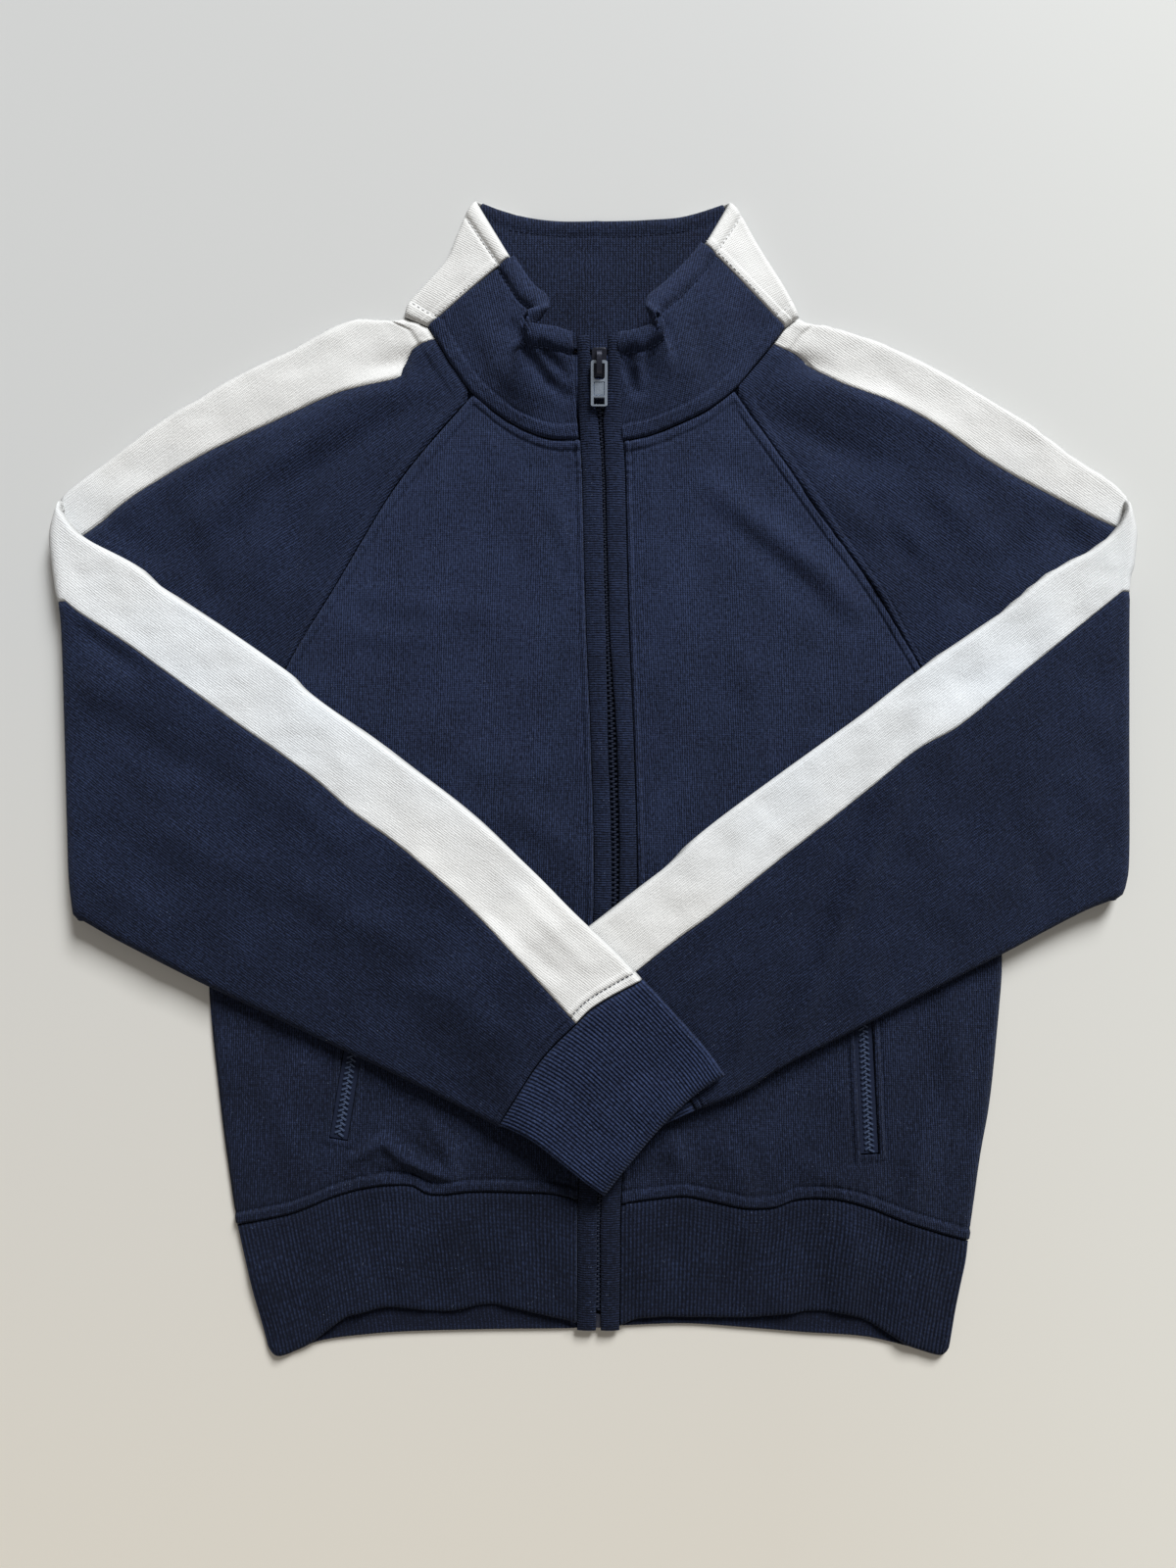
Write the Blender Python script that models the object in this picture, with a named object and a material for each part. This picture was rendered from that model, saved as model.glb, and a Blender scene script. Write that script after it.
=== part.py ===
# A zip-up track sweatshirt lying flat on its back, with both sleeves folded across the front.
# +X is the wearer's left, +Y points to the collar, +Z is up from the table. Tables are in millimetres.
import math

import bmesh
import bpy
from mathutils import Vector

MM = 0.001
MIDDLE = (-0.1, -0.4, 0.0)  # middle of the whole garment, in the tables' x and y

# Cloth
WALL = 1.6                # one ply of sweatshirt knit
GAP = 0.3                 # between pieces at a seam
BODY_TOP = 3.8            # outer height of the front panels over the table
SLEEVE_HALF = 2.6         # half the height of a flattened sleeve
SEAM_HALF = 1.9           # the same where the sleeve meets the body
EDGE_ROUND = 3.6          # how far in from a sleeve's edge its rounding reaches
BAND_RISE = 0.6           # seam allowance pushing up the cloth beside a seam
BAND_WIDTH = 7.0
RIB_PITCH = 2.1
RIB_RISE = 0.45

# Sleeve folds
FOLD_RADIUS = 3.6         # radius of the sleeve's middle layer at the elbow fold
FOLD_HEIGHT = 6.2         # height of the fold's axis
FOREARM_MIDDLE = 9.0      # height of the forearm's middle layer over the body
CROSSING_RISE = 6.6       # how much the right forearm climbs over the left one
CROSSING_START = -40.0    # where the climb starts and ends, measured out from the left sleeve's edge
CROSSING_END = -8.0

# Zip
PLACKET_OUTER = 11.4      # outer edge of the binding, from the zip's centre line
PANEL_START = 12.0        # edge of the front panels, from the same line
TAPE_OUTER = 10.8
CHAIN_HALF = 2.2
SLIDER_TOP = 225.0
SLIDER_LENGTH = 15.0
SLIDER_HALF = 4.0
SLIDER_FACE = -1.2        # upper and lower face of the slider, from the pull tab's hinge
SLIDER_BASE = -4.6
BRIDGE_HALF = 1.5
BRIDGE_TOP = 2.2          # the arch that holds the tab, from the same hinge
BRIDGE_ROOM = 1.25
PULL_LENGTH = 22.9
PULL_WIDTH = 8.7
PULL_THICK = 1.5
PULL_RISE = 3.0           # height of the hinge over the cloth beside the zip
PULL_BAR = 0.75           # half the width of the bar that runs under the bridge
PULL_SLOT = (-8.9, 2.6)   # lower end and half the width of the slot round the bridge
PULL_WINDOW = (-20.4, -18.0, 2.9)   # lower end, upper end and half the width of the small opening
HINGE_Y = 217.8

NAVY = (0.022, 0.031, 0.072)
WHITE = (0.80, 0.81, 0.83)
ZIP_NAVY = (0.020, 0.026, 0.055)
STEEL = (0.62, 0.63, 0.65)
DARK_METAL = (0.10, 0.11, 0.13)


# x of the zip's centre line, y, height of the cloth beside it, half the opening between the bindings
ZIP_LINE = [
    (2.7, 232.0, 17.6, 4.9),
    (3.1, 213.7, 13.2, 4.7),
    (3.5, 199.0, 9.8, 2.6),
    (3.9, 189.7, 7.9, 1.3),
    (5.5, 164.4, 5.0, 1.0),
    (6.0, 143.5, 4.2, 1.0),
    (7.6, 80.8, 3.8, 1.1),
    (10.2, 18.1, 3.8, 2.5),
    (11.8, -55.2, 3.8, 2.2),
    (8.6, -138.8, 3.8, 1.1),
    (3.4, -223.5, 3.9, 1.0),
    (2.9, -259.0, 3.9, 1.0),
    (2.6, -294.6, 3.9, 1.3),
]

# Right side of the garment, from the underarm down: x, y
RIGHT_SIDE = [(-201.4, -13.4), (-204.5, -60.6), (-206.1, -107.9), (-202.4, -149.9), (-198.2, -186.7),
              (-190.9, -238.6)]
LEFT_SIDE = [(214.6, -14.4), (217.7, -55.4), (218.8, -94.8), (217.7, -118.4), (212.5, -170.9),
             (207.2, -202.4), (200.9, -247.4)]
RIGHT_HEM_SIDE = [(-190.9, -238.6), (-183.5, -270.7), (-175.6, -299.2), (-173.3, -310.4)]
LEFT_HEM_SIDE = [(200.9, -247.4), (199.3, -260.2), (194.6, -281.2), (189.8, -310.0)]

# Neck seam from the fold at the side of the collar to the zip: x, y. The 2nd point is the foot of the white
# panel of the collar, the 3rd the top of the sleeve's white panel and the 5th the top of the raglan seam
RIGHT_NECK = [(-101.5, 246.6), (-88.6, 241.2), (-84.6, 235.2), (-76.1, 221.2), (-64.6, 205.5),
              (-50.5, 193.8), (-37.0, 185.8), (-22.5, 180.8), (-7.8, 180.4)]
LEFT_NECK = [(110.3, 246.6), (102.6, 240.8), (96.6, 232.7), (86.0, 219.8), (75.1, 207.1),
             (61.0, 196.6), (46.0, 189.2), (31.0, 183.0), (15.6, 179.4)]
# Raglan seam of the front from the neck to the underarm: x, y
RIGHT_RAGLAN = [(-64.6, 205.5), (-89.2, 177.8), (-107.6, 154.2), (-123.3, 128.6), (-139.0, 101.8),
                (-159.9, 67.8), (-179.8, 28.6), (-201.4, -13.4)]
LEFT_RAGLAN = [(75.1, 207.1), (101.8, 169.4), (122.8, 139.5), (148.4, 104.5), (161.5, 82.5),
               (174.6, 60.0), (193.5, 24.4), (214.6, -14.4)]
# Neck seam and raglan seam of the back, from the fold at the side of the collar
RIGHT_BACK_NECK = [(-101.5, 246.6), (-72.0, 235.5), (-60.0, 233.5)]
LEFT_BACK_NECK = [(110.3, 246.6), (81.0, 235.5), (69.0, 233.5)]
RIGHT_BACK_RAGLAN = [(-60.0, 233.5), (-86.0, 186.0), (-120.0, 122.0), (-160.0, 55.0), (-201.4, -13.4)]
LEFT_BACK_RAGLAN = [(69.0, 233.5), (95.0, 186.0), (130.0, 122.0), (172.0, 55.0), (214.6, -14.4)]

# Hem seam of the front and lower edge of the hem rib, from the zip outwards: x, y
RIGHT_HEM_SEAM = [(-8.6, -225.2), (-23.8, -221.8), (-44.7, -221.1), (-65.7, -221.1), (-86.6, -222.6),
                  (-97.1, -218.0), (-110.1, -217.4), (-122.2, -219.0), (-138.9, -223.7), (-159.8, -232.1),
                  (-175.5, -235.7), (-190.9, -238.6)]
LEFT_HEM_SEAM = [(15.0, -227.4), (33.8, -224.7), (48.4, -223.2), (65.2, -226.3), (80.3, -229.4),
                 (96.0, -229.6), (109.6, -225.2), (128.5, -224.7), (145.8, -228.9), (162.0, -235.2),
                 (181.9, -242.0), (200.9, -247.4)]
RIGHT_HEM_EDGE = [(-8.9, -290.9), (-31.6, -286.0), (-55.2, -281.8), (-81.4, -285.2), (-107.5, -282.8),
                  (-120.6, -284.9), (-133.7, -288.6), (-149.4, -301.0), (-160.9, -307.2), (-173.3, -310.4)]
LEFT_HEM_EDGE = [(14.4, -292.4), (28.5, -288.4), (54.7, -288.1), (80.9, -288.1), (101.8, -286.5),
                 (122.7, -285.4), (137.4, -287.5), (148.9, -291.7), (169.8, -303.8), (189.8, -310.0)]
BACK_HEM_SEAM = [(-190.9, -238.6), (-100.0, -238.0), (0.0, -236.0), (100.0, -238.0), (200.9, -247.4)]
BACK_HEM_EDGE = [(-173.3, -310.4), (-160.7, -306.6), (-144.9, -301.1), (-121.2, -298.0), (-97.6, -296.4),
                 (-55.5, -295.3), (-13.4, -294.8), (18.2, -293.2), (49.7, -292.2), (81.3, -294.3),
                 (112.9, -296.9), (144.4, -299.0), (165.5, -303.6), (189.8, -310.0)]

# Each sleeve, x, y from the neck to the cuff: edge over the shoulder, elbow fold as it shows from above,
# edges of the forearm, cuff seam and cuff edge, and the stripe's lower edge on the upper arm and the forearm
RIGHT_ARM = {
    "outward": -1,
    "shoulder": [(-101.5, 246.6), (-106.0, 245.4), (-118.0, 246.0), (-130.3, 246.0), (-146.0, 238.6),
                 (-161.2, 230.2), (-186.4, 218.4), (-212.1, 203.2), (-231.5, 191.7), (-258.0, 171.5),
                 (-271.0, 162.5), (-279.0, 156.0), (-284.5, 149.5)],
    "fold": [(-288.0, 143.0), (-289.2, 135.0), (-288.8, 122.0), (-286.1, 99.9), (-283.0, 83.2),
             (-281.2, 32.6), (-279.6, -27.4), (-278.6, -54.5), (-276.0, -75.4)],
    "forearm_top": [(-270.7, 129.4), (-243.2, 114.4), (-224.5, 99.4), (-194.4, 80.2), (-161.7, 57.4),
                    (-149.8, 45.9), (-108.2, 15.8), (-65.2, -16.9), (-35.6, -44.4), (-2.9, -76.1),
                    (12.0, -90.0), (26.0, -105.0)],
    "forearm_bottom": [(-249.4, -87.0), (-211.0, -106.7), (-158.6, -131.6), (-106.7, -156.0),
                       (-51.0, -183.8)],
    "cuff_seam": [(26.0, -105.0), (2.3, -117.9), (-9.0, -128.0), (-29.2, -149.3), (-51.0, -183.8)],
    "cuff_top": [(26.0, -105.0), (38.3, -118.2), (52.2, -133.6), (61.0, -143.9), (68.7, -155.2)],
    "cuff_bottom": [(-51.0, -183.8), (-46.0, -184.4), (-31.8, -190.9), (-15.3, -203.3), (5.6, -220.0)],
    "cuff_edge": [(68.7, -155.2), (52.2, -166.5), (33.2, -185.1), (14.6, -207.8), (5.6, -220.0)],
    "stripe_upper": [(-99.0, 229.2), (-118.9, 221.9), (-135.6, 212.4), (-160.7, 202.5), (-188.9, 188.4),
                     (-216.6, 173.3), (-244.8, 155.0), (-272.5, 130.9), (-292.0, 114.0)],
    "stripe_forearm": [(-292.0, 104.0), (-275.3, 90.2), (-253.1, 75.2), (-230.8, 59.2), (-208.6, 42.6),
                       (-186.4, 26.1), (-149.2, -0.3), (-126.9, -19.9), (-104.7, -35.9), (-85.6, -51.5),
                       (-64.9, -70.1), (-35.4, -99.5), (-9.0, -128.0), (2.0, -140.0)],
    "neck": RIGHT_NECK, "raglan": RIGHT_RAGLAN, "back_neck": RIGHT_BACK_NECK,
    "back_raglan": RIGHT_BACK_RAGLAN, "over": True,
}
LEFT_ARM = {
    "outward": 1,
    "shoulder": [(110.3, 246.6), (114.6, 244.0), (126.1, 242.5), (145.0, 236.6), (165.4, 228.4),
                 (197.4, 211.6), (228.4, 193.2), (260.9, 169.4), (272.5, 162.5),
                 (280.5, 156.0), (285.5, 149.5)],
    "fold": [(288.4, 143.0), (289.2, 135.5), (288.7, 126.0), (287.1, 111.4), (285.0, 98.8), (284.7, 30.5),
             (284.7, -38.3), (283.0, -56.0), (279.6, -64.6)],
    "forearm_top": [(276.4, 132.6), (263.5, 121.7), (239.1, 108.2), (211.5, 85.4), (173.6, 59.4),
                    (144.6, 36.6), (102.0, 6.0), (59.4, -25.7), (39.7, -44.4), (14.8, -64.6), (-2.9, -78.1)],
    "forearm_bottom": [(257.2, -71.4), (216.2, -93.2), (177.8, -112.9), (139.9, -132.6), (101.0, -152.4),
                       (82.8, -164.3), (71.4, -169.4), (54.6, -175.6)],
    "cuff_seam": [(-2.9, -78.1), (12.0, -100.0), (32.0, -134.0), (54.6, -175.6)],
    "cuff_top": [(-2.9, -78.1), (-20.0, -90.0), (-38.0, -104.0), (-54.0, -118.0)],
    "cuff_bottom": [(54.6, -175.6), (36.0, -184.0), (14.0, -193.0), (-7.0, -200.0)],
    "cuff_edge": [(-54.0, -118.0), (-38.0, -145.0), (-22.0, -172.0), (-7.0, -200.0)],
    "stripe_upper": [(110.0, 228.1), (121.5, 225.0), (143.5, 215.1), (159.1, 206.7), (181.6, 196.8),
                     (202.5, 184.2), (231.8, 163.3), (262.6, 143.5), (278.3, 134.6), (292.0, 126.0)],
    "stripe_forearm": [(292.0, 108.0), (280.4, 98.5), (256.1, 78.8), (226.2, 54.5), (192.6, 27.1),
                       (171.4, 15.2), (144.0, -7.5), (104.7, -38.0), (62.3, -71.6), (39.5, -88.2),
                       (20.0, -104.0), (8.0, -114.0)],
    "neck": LEFT_NECK, "raglan": LEFT_RAGLAN, "back_neck": LEFT_BACK_NECK,
    "back_raglan": LEFT_BACK_RAGLAN, "over": False,
}
HIDDEN_STRIPE_BACK = 40.0   # stripe width past the sleeve's edge on the upper arm's underside
HIDDEN_STRIPE_FRONT = 25.0  # the same on the forearm's underside

# Collar: fold at the side from the neck up (x, y), and top edge from the fold to the zip (x, y, z)
RIGHT_COLLAR_SIDE = [(-101.5, 246.6), (-99.0, 254.6), (-91.5, 263.0), (-78.9, 277.7), (-73.2, 291.2),
                     (-67.8, 303.6), (-63.2, 309.6)]
LEFT_COLLAR_SIDE = [(110.3, 246.6), (108.0, 252.4), (101.8, 263.9), (88.9, 284.5), (78.6, 302.6),
                    (73.2, 308.8)]
RIGHT_COLLAR_TOP = [(-63.2, 309.6, 5.4), (-52.4, 293.5, 7.0), (-43.4, 276.4, 9.5), (-33.8, 260.6, 13.0),
                    (-27.4, 252.4, 16.6), (-27.4, 246.6, 19.0), (-31.2, 242.4, 21.0), (-33.6, 238.2, 22.3),
                    (-30.4, 233.8, 22.5), (-23.2, 231.8, 21.0), (-16.0, 232.0, 19.4), (-11.0, 231.4, 17.8)]
LEFT_COLLAR_TOP = [(73.2, 308.8, 5.4), (67.6, 297.1, 7.0), (58.4, 283.2, 9.5), (48.8, 270.7, 12.5),
                   (38.6, 259.2, 16.0), (30.9, 251.7, 18.4), (30.0, 246.2, 20.0), (33.0, 241.6, 21.4),
                   (33.6, 237.4, 21.8), (28.0, 233.0, 20.6), (20.0, 230.8, 19.0), (12.6, 231.2, 17.8)]
WHITE_TOP = 2               # row of the two tables above where the white panel meets the navy one
COLLAR_BACK_TOP = [(-63.2, 309.6), (-44.9, 303.1), (-23.9, 299.0), (4.0, 298.6), (28.7, 299.4),
                   (49.7, 301.4), (73.2, 308.8)]
COLLAR_MIDDLE = 2.7         # height of the collar's fold at the side
INSIDE_WALL = 1.0           # the collar's inside ply
COLLAR_WALL = 1.2
WHITE_WIDTH = 30.0          # of the collar's white panel over its front, at the foot
WHITE_BACK = (38.0, 12.0)   # how far the panel's foot reaches in and down behind the side fold
WHITE_BACK_TOP = 0.22       # share of the back's top edge that it covers at each side

# Folds raised on the body: x and y of both ends, height, width
BODY_FOLDS = [
    (-127.0, -206.0, -80.0, -213.0, 0.9, 9.0),
    (-92.0, -190.0, -78.0, -217.0, 0.8, 7.0),
    (60.0, -205.0, 78.0, -223.0, 0.7, 10.0),
    (106.0, -212.0, 160.0, -222.0, 0.8, 9.0),
    (-60.0, 150.0, -20.0, 60.0, 0.5, 16.0),
    (60.0, 150.0, 30.0, 40.0, 0.5, 16.0),
    (-150.0, 20.0, -140.0, -80.0, 0.5, 18.0),
    (150.0, 10.0, 160.0, -90.0, 0.5, 18.0),
]
# The same on the sleeves as they show from above
SLEEVE_FOLDS = [
    (-262.0, 72.0, -205.0, 40.0, 0.9, 9.0),
    (-250.0, 40.0, -190.0, 22.0, 0.6, 10.0),
    (-98.0, 214.0, -150.0, 196.0, 0.8, 8.0),
    (-112.0, 188.0, -190.0, 150.0, 0.7, 12.0),
    (-180.0, 130.0, -196.0, 70.0, 0.7, 12.0),
    (108.0, 214.0, 160.0, 196.0, 0.8, 8.0),
    (120.0, 186.0, 190.0, 150.0, 0.7, 12.0),
    (240.0, 120.0, 215.0, 80.0, 0.7, 12.0),
    (-60.0, -92.0, 0.0, -128.0, 0.5, 12.0),
    (120.0, -60.0, 40.0, -120.0, 0.5, 14.0),
    (230.0, 20.0, 160.0, -40.0, 0.5, 16.0),
]

# Pocket slots in the front panels: x, y of the top, the middle and the bottom of the centre line
RIGHT_POCKET = [(-119.5, -90.0), (-128.4, -143.6), (-136.3, -192.8)]
LEFT_POCKET = [(141.5, -80.0), (144.7, -132.6), (147.8, -200.6)]
SLOT_HALF = 5.0
POCKET_ZIP_HALF = 4.7


def smooth(x):
    x = min(1.0, max(0.0, x))
    return x * x * (3 - 2 * x)


def spline(table, count):
    """count + 1 evenly spaced points on a smooth line through the table's points."""
    points = [Vector(p) for p in table]
    ends = [points[0] * 2 - points[1], *points, points[-1] * 2 - points[-2]]
    dense = [points[0]]
    steps = 12
    for a, b, c, d in zip(ends, ends[1:], ends[2:], ends[3:]):
        for k in range(1, steps + 1):
            t = k / steps
            dense.append(0.5 * (2 * b + (c - a) * t + (2 * a - 5 * b + 4 * c - d) * t * t
                                + (3 * b - a - 3 * c + d) * t ** 3))
    run = [0.0]
    for p, q in zip(dense, dense[1:]):
        run.append(run[-1] + (q - p).length)
    line, k = [], 0
    for i in range(count + 1):
        goal = run[-1] * i / count
        while k < len(dense) - 2 and run[k + 1] < goal:
            k += 1
        line.append(dense[k].lerp(dense[k + 1], min(1.0, (goal - run[k]) / (run[k + 1] - run[k]))))
    return line


def at(line, share):
    """Point at a share from 0 to 1 of a line of evenly spaced points."""
    place = min(1.0, max(0.0, share)) * (len(line) - 1)
    k = min(int(place), len(line) - 2)
    return line[k].lerp(line[k + 1], place - k)


def length_of(line):
    return sum((q - p).length for p, q in zip(line, line[1:]))


def patch(start, end, side_a, side_b, f, t):
    """Plan position inside four edges: start and end run along f, side_a and side_b along t."""
    rows = start(f).lerp(end(f), t)
    columns = side_a(t).lerp(side_b(t), f)
    corners = start(0).lerp(start(1), f).lerp(end(0).lerp(end(1), f), t)
    return rows + columns - corners


def along_y(table, y, column):
    """Value of a column at a given y, for a table whose rows run down in y, with soft corners."""
    if y >= table[0][1]:
        return table[0][column]
    for a, b in zip(table, table[1:]):
        if y >= b[1]:
            return a[column] + (b[column] - a[column]) * (a[1] - y) / (a[1] - b[1])
    return table[-1][column]


ZIP_STEPS = 72
ZIP_SMOOTH = [tuple(p) for p in spline([(x, y, z) for x, y, z, _ in ZIP_LINE], ZIP_STEPS)]


def zip_x(y):
    return along_y(ZIP_SMOOTH, y, 0)


def zip_z(y):
    return along_y(ZIP_SMOOTH, y, 2)


def zip_opening(y):
    return along_y(ZIP_LINE, y, 3)


def folds(table, x, y):
    """Height of the raised folds at a place: a soft ridge along each line, fading to its ends."""
    height = 0.0
    for x0, y0, x1, y1, rise, width in table:
        dx, dy = x1 - x0, y1 - y0
        along = ((x - x0) * dx + (y - y0) * dy) / (dx * dx + dy * dy)
        if -0.4 < along < 1.4:
            near = min(1.0, max(0.0, along))
            off = math.hypot(x - x0 - near * dx, y - y0 - near * dy)
            height += rise * math.exp(-((off / width) ** 2))
    return height


def neck_lift(x, y):
    """How much the standing collar lifts the cloth near the zip."""
    return (zip_z(y) - BODY_TOP) * math.exp(-(((x - zip_x(y)) / 46.0) ** 2))


def body_top(x, y):
    """Height of the front's outer face over the table."""
    wave = 0.22 * math.sin(x / 15.0 + y / 95.0) + 0.15 * math.sin(x / 8.5 - y / 60.0 + 1.0)
    return BODY_TOP + neck_lift(x, y) + wave * smooth((200.0 - y) / 60.0) + folds(BODY_FOLDS, x, y)


def place(point):
    """From the tables' millimetres to metres about the middle of the whole garment."""
    return (point - Vector(MIDDLE)) * MM


def material(name, colour, roughness, metallic=0.0):
    found = bpy.data.materials.get(name)
    if found:
        return found
    made = bpy.data.materials.new(name)
    made.use_nodes = True
    shader = made.node_tree.nodes["Principled BSDF"]
    shader.inputs["Base Color"].default_value = (*colour, 1.0)
    shader.inputs["Roughness"].default_value = roughness
    shader.inputs["Metallic"].default_value = metallic
    return made


def add(name, bm, finish, smooth_angle=50):
    bmesh.ops.recalc_face_normals(bm, faces=bm.faces)
    mesh = bpy.data.meshes.new(name)
    bm.to_mesh(mesh)
    bm.free()
    mesh.shade_smooth()
    mesh.set_sharp_from_angle(angle=math.radians(smooth_angle))
    mesh.materials.append(finish)
    made = bpy.data.objects.new(name, mesh)
    bpy.context.scene.collection.objects.link(made)
    return made


def cloth(name, rows, columns, outer, inner, finish, closed=False, every=1, smooth_angle=50):
    """A wall between two faces given row by row. One inner column stands for every outer columns."""
    bm = bmesh.new()
    out = [[bm.verts.new(place(outer(r, c))) for c in columns] for r in rows]
    ins = [[bm.verts.new(place(inner(r, c))) for c in columns[::every]] for r in rows]
    wide, narrow = len(columns), len(columns[::every])
    out_steps = wide if closed else wide - 1
    in_steps = narrow if closed else narrow - 1
    for r in range(len(rows) - 1):
        for c in range(out_steps):
            d = (c + 1) % wide
            bm.faces.new((out[r][c], out[r][d], out[r + 1][d], out[r + 1][c]))
        for c in range(in_steps):
            d = (c + 1) % narrow
            bm.faces.new((ins[r][c], ins[r + 1][c], ins[r + 1][d], ins[r][d]))
    for r in (0, len(rows) - 1):
        for c in range(in_steps):
            rim = [out[r][(c * every + k) % wide] for k in range(every + 1)]
            bm.faces.new((*rim, ins[r][(c + 1) % narrow], ins[r][c]))
    if not closed:
        for r in range(len(rows) - 1):
            for c, e in ((0, 0), (wide - 1, narrow - 1)):
                bm.faces.new((out[r][c], out[r + 1][c], ins[r + 1][e], ins[r][e]))
    return add(name, bm, finish, smooth_angle)


def tube_along(name, sections, finish, smooth_angle=40):
    """A solid through rings of points, closed by a face at each end."""
    bm = bmesh.new()
    rings = [[bm.verts.new(place(p)) for p in ring] for ring in sections]
    for a, b in zip(rings, rings[1:]):
        for k in range(len(a)):
            j = (k + 1) % len(a)
            bm.faces.new((a[k], a[j], b[j], b[k]))
    bm.faces.new(rings[0])
    bm.faces.new(rings[-1][::-1])
    return add(name, bm, finish, smooth_angle)


# ---- sleeves

RAGLAN_STEPS = 6
# Shares of the sleeve's first section: stripe seam, middle of the neck edge, start of the raglan seam
STRIPE_AT_NECK = 0.07
NECK_MIDDLE = 0.12
RAGLAN_START = 0.16
BACK_STRIPE_AT_NECK = 0.13
UPPER_ROWS = (0.0, 0.06, 0.2, 0.4, 0.6, 0.8, 1.0)
FOLD_ANGLES = (-50, 0, 50)
FOREARM_ROWS = (0.0, 0.08, 0.19, 0.31, 0.42, 0.52, 0.6, 0.67, 0.74, 0.81, 0.88)


def first_section(arm, back):
    """Shares and points of the section where the sleeve meets the neck and the body."""
    if back:
        neck = arm["back_neck"]
        raglan = spline(arm["back_raglan"], RAGLAN_STEPS)
        knots = [(0.0, neck[0]), (BACK_STRIPE_AT_NECK, neck[1])]
    else:
        neck = arm["neck"]
        raglan = spline(arm["raglan"], RAGLAN_STEPS)
        knots = [(0.0, neck[0]), (STRIPE_AT_NECK / 2, neck[1]),
                 (STRIPE_AT_NECK, neck[2]), (NECK_MIDDLE, neck[3])]
    for k, p in enumerate(raglan):
        knots.append((RAGLAN_START + (1 - RAGLAN_START) * k / RAGLAN_STEPS, p))
    return [(share, Vector(p)) for share, p in knots]


def on_knots(knots, share):
    for (s0, p0), (s1, p1) in zip(knots, knots[1:]):
        if share <= s1:
            return p0.lerp(p1, (share - s0) / (s1 - s0))
    return knots[-1][1]


def ready(arm):
    """Works out the smooth lines of one sleeve."""
    inward = Vector((-arm["outward"] * (FOLD_RADIUS + SLEEVE_HALF), 0))
    axis = [p + inward for p in spline(arm["fold"], 24)]
    arm["front_start"] = first_section(arm, back=False)
    arm["back_start"] = first_section(arm, back=True)
    arm["axis"] = axis
    underarm = Vector(arm["raglan"][-1])
    low = axis[-1]
    arm["top_line"] = spline([*arm["shoulder"], axis[0]], 40)
    arm["underarm_line"] = spline([underarm, underarm.lerp(low, 0.5) + Vector((0, -6.0)), low], 16)
    arm["forearm_top_line"] = spline([axis[0], *arm["forearm_top"]], 48)
    arm["forearm_bottom_line"] = spline([low, *arm["forearm_bottom"]], 48)
    arm["seam_line"] = spline(arm["cuff_seam"], 12)
    arm["stripe_upper_line"] = spline(arm["stripe_upper"], 40)
    arm["stripe_forearm_line"] = spline(arm["stripe_forearm"], 48)


def cross_share(line, a, b):
    """Share of the way from a to b where a line crosses it."""
    run = b - a
    before = None
    for p in line:
        side = run.x * (p.y - a.y) - run.y * (p.x - a.x)
        if before and side * before[0] <= 0:
            hit = before[1].lerp(p, before[0] / (before[0] - side))
            return (hit - a).dot(run) / run.length_squared
        before = (side, p)
    return (line[-1] - a).dot(run) / run.length_squared


def plan(arm, zone, t, f, back):
    """Plan position of the sleeve's middle layer."""
    if zone == "upper":
        knots = arm["back_start"] if back else arm["front_start"]
        return patch(lambda s: on_knots(knots, s), lambda s: at(arm["axis"], s),
                     lambda s: at(arm["top_line"], s), lambda s: at(arm["underarm_line"], s), f, t)
    if zone == "fold":
        return at(arm["axis"], f)
    return patch(lambda s: at(arm["axis"], s), lambda s: at(arm["seam_line"], s),
                 lambda s: at(arm["forearm_top_line"], s), lambda s: at(arm["forearm_bottom_line"], s), f, t)


def section_ends(arm, zone, t):
    if zone == "upper":
        return at(arm["top_line"], t), at(arm["underarm_line"], t)
    if zone == "fold":
        return arm["axis"][0], arm["axis"][-1]
    return at(arm["forearm_top_line"], t), at(arm["forearm_bottom_line"], t)


def stripe_shares(arm, zone, t):
    """Shares of the section that the white panel covers on the front layer and on the back layer."""
    a, b = section_ends(arm, zone, t)
    fold_front = cross_share(arm["stripe_upper_line"], arm["axis"][0], arm["axis"][-1])
    fold_back = cross_share(arm["stripe_forearm_line"], arm["axis"][0], arm["axis"][-1])
    if zone == "upper":
        front = cross_share(arm["stripe_upper_line"], a, b) if t > 0.02 else STRIPE_AT_NECK
        near = smooth(t / 0.3)
        front = STRIPE_AT_NECK + (front - STRIPE_AT_NECK) * max(near, min(1.0, t * 8))
        hidden = HIDDEN_STRIPE_BACK / (b - a).length
        back = BACK_STRIPE_AT_NECK + (hidden - BACK_STRIPE_AT_NECK) * near
        return front, back + (fold_back - back) * smooth((t - 0.5) / 0.5)
    if zone == "fold":
        return fold_front, fold_back
    hidden = HIDDEN_STRIPE_FRONT / (b - a).length
    front = fold_front + (hidden - fold_front) * smooth(t / 0.3)
    return front, cross_share(arm["stripe_forearm_line"], a, b)


def crossing_lift(arm, x, y):
    """How much the upper forearm climbs where the other sleeve lies under it."""
    if not arm["over"]:
        return 0.0
    inside = []
    edges = [LEFT_ARM["forearm_top"][-6], LEFT_ARM["cuff_edge"][0], LEFT_ARM["cuff_edge"][-1],
             LEFT_ARM["cuff_bottom"][0], LEFT_ARM["forearm_bottom"][-4]]
    for (ax, ay), (bx, by) in zip(edges, edges[1:]):
        long = math.hypot(bx - ax, by - ay)
        inside.append(((bx - ax) * (y - ay) - (by - ay) * (x - ax)) / long)
    return CROSSING_RISE * smooth((min(inside) - CROSSING_START) / (CROSSING_END - CROSSING_START))


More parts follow.
